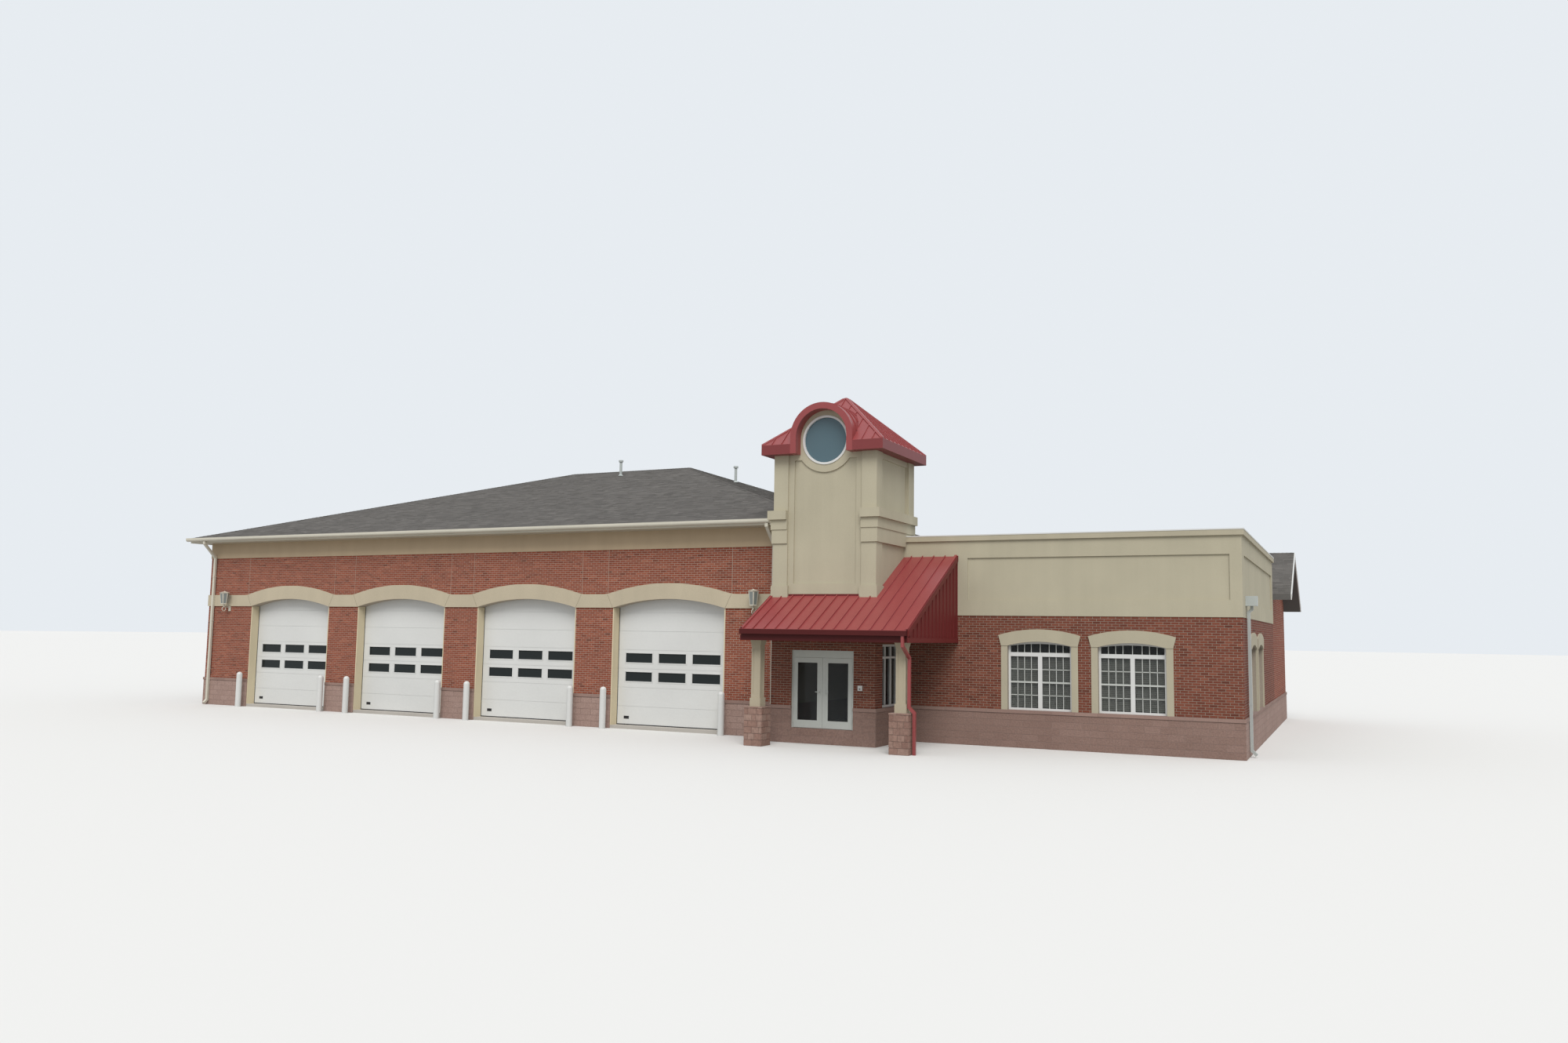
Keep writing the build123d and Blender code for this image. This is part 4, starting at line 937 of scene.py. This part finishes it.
add_windows()


# Frames, seals and vents of the overhead doors

LIGHT_FRAME = 0.03
LIGHT_LAP = 0.004
LIGHT_PROUD = 0.008
SEAT = 0.01
SEAL = (0.03, 0.014)
SEAL_PROUD = 0.012
VENT = ((0.3, 0.49, 0.29, 0.38, -SEAT, 0.006), (0.383, 0.407, 0.31, 0.36, 0, 0.02))
floor_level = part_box("bay_floor")[1].z
doors_low, doors_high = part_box("overhead_doors")


def add_door_trim():
    """Frames round the doors' panes, seals at their edges, and a vent with its bar in each."""
    frames = []
    seals = []
    vents = []
    walls = Wall("front", doors_low.y), Wall("back", doors_high.y)
    for low, high in islands("overhead_door_glass"):
        wall = walls[low.y >= piers_high.y / 2]
        left, right, bottom, top = (low.x - LIGHT_FRAME, high.x + LIGHT_FRAME,
                                    low.z - LIGHT_FRAME, high.z + LIGHT_FRAME)
        for span in ((left, right, bottom, low.z + LIGHT_LAP),
                     (left, right, high.z - LIGHT_LAP, top),
                     (left, low.x + LIGHT_LAP, low.z, high.z),
                     (high.x - LIGHT_LAP, right, low.z, high.z)):
            frames.append(wall.box(*span, -SEAT, LIGHT_PROUD))
    for wall in walls:
        for left, right in openings:
            inner = (left + lining_width, right - lining_width)
            seals.append(wall.box(*inner, floor_level, floor_level + SEAL[0], -SEAT, SEAL_PROUD))
            for span in ((inner[0], inner[0] + SEAL[1]), (inner[1] - SEAL[1], inner[1])):
                seals.append(wall.box(*span, floor_level, band_bottom, -SEAT, SEAL_PROUD))
            vents += wall.boxes_from(left, VENT)
    boxes("door_light_frames", frames, "white_metal")
    boxes("door_seals", seals, "rubber")
    boxes("door_vents", vents, "rubber")


add_door_trim()


# Canopy gables and flashings

BATTEN = (0.045, 0.02)
BATTEN_PITCH = 0.3
BATTEN_LAP = 0.02
GABLE_FOOT = 0.13
FOOT_THICK, RAKE_THICK = 1.5, 2
RAKE = 0.16
RAKE_RISE = 0.02
RAKE_CAP = (0.07, 0.05)
RAKE_CAP_LAP = 0.001
LIP = (0.02, 0.012)
LIP_PLACE = (0.002, 0.014, 0.002)
FLASHING = (0.018, 0.07)
FLASHING_LIFT = 0.01
gutter_low, gutter_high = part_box("canopy_gutter")
apron_low, apron_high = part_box("canopy_apron")
deck_low, deck_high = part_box("canopy_roof")
eave_y, deck_top = gutter_high.y, gutter_high.z
deck_eave = levels("canopy_roof", 1, eave_y)
deck_under = deck_eave[0]
canopy_rate = ((levels("canopy_roof", 1, deck_high.y)[-1] - deck_eave[-1])
               / (deck_high.y - eave_y))
plinths = [box for box in islands("tower_pilasters") if box[0].y < front_face]
plinth_gap = (min(high.x for low, high in plinths), max(low.x for low, high in plinths))


def canopy_point(x, y, level):
    """A place on the canopy's slope, which is at the level over the eave."""
    return Vector((x, y, level + (y - eave_y) * canopy_rate))


def add_gable_boards():
    """Battens, a foot board and a rake board on each side of the canopy."""
    shape = Shape()
    for place, sign, back, rake_back in (
            (apron_high.x, 1, office_low.y, office_low.y),
            (apron_low.x, -1, entrance_low.y, front_face)):
        out = BATTEN[1] * sign
        wide = Vector((out, 0, 0))
        middle = apron_low.z + GABLE_FOOT / 2
        run = eave_y + BATTEN_PITCH / 2
        while run < back:
            shape.bar((place + out / 2, run, middle),
                      canopy_point(place + out / 2, run, deck_under + BATTEN_LAP), wide,
                      (0, BATTEN[0], 0))
            run += BATTEN_PITCH
        across = place + out * FOOT_THICK / 2
        shape.bar((across, eave_y, middle), (across, back, middle), wide * FOOT_THICK,
                  UP * GABLE_FOOT)
        across = place + out * RAKE_THICK / 2
        level = deck_top + RAKE_RISE - RAKE / 2
        shape.bar(canopy_point(across, eave_y, level), canopy_point(across, rake_back, level),
                  wide * RAKE_THICK, UP * RAKE)
    shape.make("canopy_gable_boards", "dark_red")


def add_flashings():
    """Caps on the canopy's rakes, a lip on its gutter and the flashing at the tower's foot."""
    shape = Shape()
    for place, sign, back in ((deck_high.x, -1, office_low.y), (deck_low.x, 1, front_face)):
        across = place + sign * (RAKE_CAP[0] / 2 - RAKE_CAP_LAP)
        level = deck_top + RAKE_RISE
        shape.bar(canopy_point(across, eave_y, level), canopy_point(across, back, level),
                  (RAKE_CAP[0], 0, 0), UP * RAKE_CAP[1])
    short, inward, lift = LIP_PLACE
    lip_y, lip_z = gutter_low.y + inward, gutter_high.z + lift
    shape.bar((gutter_low.x + short, lip_y, lip_z), (gutter_high.x - short, lip_y, lip_z),
              (0, LIP[0], 0), UP * LIP[1])
    shape.make("canopy_flashings", "red_metal")
    # The flashing at the tower's foot takes the darker red as painted shade in the crease where
    # the tower meets the canopy
    shape = Shape()
    ends = [canopy_point(x, front_face, deck_top + FLASHING_LIFT)
            - Vector((0, FLASHING[0] / 2, 0)) for x in plinth_gap]
    shape.bar(*ends, (0, FLASHING[0], 0), UP * FLASHING[1])
    shape.make("tower_foot_flashing", "dark_red")


add_gable_boards()
add_flashings()


# Coping edge, band joints, downspout straps, wall boxes and lantern panes

EDGE = (0.028, 0.008)
EDGE_TOP = 0.004
COPING_INNER = 0.36
BAND_JOINT = (0.008, 0.004)
STRAP = (0.035, 0.006)
STRAP_LEVELS = (1.35, 3.2, 4.9)
STRAP_CLEAR = 1.2
SHOE_LEVEL, SHOE_REACH = 0.18, 0.06
PIPE_REACH = 0.01
CALL_BOX = ((0.144, 0.274, 1.51, 1.65, 0, 0.045), (0.156, 0.262, 1.522, 1.638, 0.045, 0.052))
CALL_BUTTON = ((0.189, 0.229, 1.54, 1.57, 0.05, 0.058),)
LANTERN_EDGE = (0.11, 0.19)
PANE_WIDTH, PANE_HEIGHT = (0.14, 0.86), (0.08, 0.92)
PANE_DEPTH = (-0.004, 0.0015)
coping_low, coping_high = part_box("parapet_coping")


def add_coping_metal():
    """Thin sheets over the coping, and its folded edges on three sides."""
    left, right = shaft_high.x, coping_high.x
    front, back = coping_low.y, coping_high.y
    thick = office_low.y - front + COPING_INNER
    top = coping_high.z
    sheets = ((left, front, right, front + thick, top),
              (right - thick, front + thick, right, back - thick, top),
              (piers_high.x, back - thick, right, back, top),
              (left, front - EDGE[1], right + EDGE[1], front, top - EDGE[0]),
              (right, front, right + EDGE[1], back, top - EDGE[0]),
              (piers_high.x, back, right + EDGE[1], back + EDGE[1], top - EDGE[0]))
    boxes("coping_metal", [((x, y, z), (far_x, far_y, top + EDGE_TOP))
                           for x, y, far_x, far_y, z in sheets], "white_metal")


def add_band_joints():
    shape = Shape()
    width, depth = BAND_JOINT
    for wall in (Wall("front", band_low.y), Wall("back", band_high.y)):
        out = Vector(wall.point(0, 0, depth / 2)) - Vector(wall.point(0, 0, -depth / 2))
        for left, right in openings:
            for edge, reach in ((left, -ARCH_REACH), (right, ARCH_REACH)):
                shape.bar(wall.point(edge, band_bottom, 0),
                          wall.point(edge + reach, band_flat_top, 0), (width, 0, 0), out)
    shape.make("band_joints", "joint")


def add_straps(node, look):
    """Straps round the upright pipes, whose sections are read at their lowest bends."""
    spans = []
    for low, high in islands(node):
        near = [corner for corner in corners_of(node)
                if abs(corner.z - SHOE_LEVEL) < SHOE_REACH
                and all(low[axis] - PIPE_REACH < corner[axis] < high[axis] + PIPE_REACH
                        for axis in (0, 1))]
        left, front = (min(corner[axis] for corner in near) - STRAP[1] for axis in (0, 1))
        right, back = (max(corner[axis] for corner in near) + STRAP[1] for axis in (0, 1))
        spans += [((left, front, level), (right, back, level + STRAP[0]))
                  for level in STRAP_LEVELS if level <= high.z - STRAP_CLEAR]
    boxes(f"straps_{look}", spans, look)


def add_call_box():
    """The case, lid and button of the call box, right of the entrance's frame."""
    wall = Wall("front", entrance_low.y)
    boxes("call_box", wall.boxes_from(door_high.x, CALL_BOX), "white_metal")
    boxes("call_button", wall.boxes_from(door_high.x, CALL_BUTTON), "rubber")


def add_lantern_panes():
    """A pane in each side of the six-sided lanterns, between the rings of its body."""
    shape = Shape()
    for low, high in islands("wall_lanterns"):
        centre = Vector(((low.x + high.x) / 2, low.y + (high.x - low.x) * math.sqrt(3) / 4, 0))
        edge = sorted((corner.z, corner.x - centre.x) for corner in corners_of("wall_lanterns")
                      if abs(corner.y - centre.y) < NEAR
                      and LANTERN_EDGE[0] < corner.x - centre.x < LANTERN_EDGE[1])
        (foot, foot_radius), (head, head_radius) = edge[0], edge[-1]
        for side in range(6):
            a, b = (Vector((math.cos(turn), math.sin(turn), 0))
                    for turn in (math.radians(60 * side), math.radians(60 * side + 60)))
            corners = [centre + a.lerp(b, blend)
                       * (foot_radius + (head_radius - foot_radius) * share)
                       + UP * (foot + (head - foot) * share)
                       for blend, share in rectangle(*PANE_WIDTH, *PANE_HEIGHT)]
            normal = (corners[1] - corners[0]).cross(corners[3] - corners[0]).normalized()
            shape.add([corner + normal * depth for depth in PANE_DEPTH for corner in corners],
                      PRISM)
    shape.make("lantern_panes", "lamp_glass")


add_coping_metal()
add_band_joints()
add_straps("bay_downspouts", "cream_metal")
add_straps("office_downspout", "grey_metal")
add_call_box()
add_lantern_panes()


# Camera, light and floor


def aim_camera():
    data = bpy.data.cameras.new("camera")
    data.sensor_width = SENSOR
    data.lens = SENSOR * FOCAL_PX / PHOTO_SIZE[0]
    data.clip_end = CLIP_END
    camera = add_object("camera", data)
    yaw, pitch, roll = (Matrix.Rotation(math.radians(turn), 4, axis) for turn, axis in (
        (CAMERA_YAW, "Z"), (90 + CAMERA_PITCH, "X"), (CAMERA_ROLL, "Z")))
    camera.matrix_world = Matrix.Translation(CAMERA_PLACE) @ yaw @ pitch @ roll
    bpy.context.scene.camera = camera


def camera_seen(tree):
    """A factor of 1 for rays that show the background: camera, glossy and transmission."""
    rays = add_node(tree, "ShaderNodeLightPath")
    seen = rays.outputs["Is Camera Ray"]
    for kind in ("Is Glossy Ray", "Is Transmission Ray"):
        larger = tree.nodes.new("ShaderNodeMath")
        larger.operation = "MAXIMUM"
        feed(tree, larger.inputs[0], seen)
        feed(tree, larger.inputs[1], rays.outputs[kind])
        seen = larger.outputs[0]
    return seen


def add_light():
    world = bpy.data.worlds.new("world")
    bpy.context.scene.world = world
    world.use_nodes = True
    tree = world.node_tree
    sky = tree.nodes["Background"]
    feed(tree, sky.inputs["Color"], SKY_COLOUR)
    feed(tree, sky.inputs["Strength"], SKY_STRENGTH)
    backdrop = add_node(tree, "ShaderNodeBackground", Color=BACKDROP)
    mix = add_node(tree, "ShaderNodeMixShader", Fac=camera_seen(tree))
    feed(tree, mix.inputs[1], sky.outputs["Background"])
    feed(tree, mix.inputs[2], backdrop.outputs["Background"])
    feed(tree, tree.nodes["World Output"].inputs["Surface"], mix.outputs["Shader"])
    lamp = bpy.data.lights.new("sun", "SUN")
    lamp.energy, lamp.color, lamp.angle = SUN_ENERGY, SUN_COLOUR, math.radians(SUN_ANGLE)
    add_object("sun", lamp).rotation_euler = (math.radians(SUN_TILT), 0, math.radians(SUN_TURN))


def add_floor():
    """A pale floor that looks brighter than the light it throws back."""
    ground = new_material("floor", FLOOR_BOUNCE, FLOOR_ROUGHNESS)
    tree = ground.node_tree
    feed_shader(ground, "Base Color",
                mix_colours(tree, "MIX", camera_seen(tree), FLOOR_BOUNCE, FLOOR_SEEN))
    mesh = bpy.data.meshes.new("floor")
    mesh.from_pydata([(x, y, 0) for x, y in rectangle(-FLOOR_HALF, FLOOR_HALF, -FLOOR_HALF,
                                                    FLOOR_HALF)], [], [(0, 1, 2, 3)])
    mesh.materials.append(ground)
    add_object("floor", mesh)


bpy.context.scene.view_settings.view_transform = "Standard"
aim_camera()
add_light()
add_floor()
bpy.context.view_layer.update()
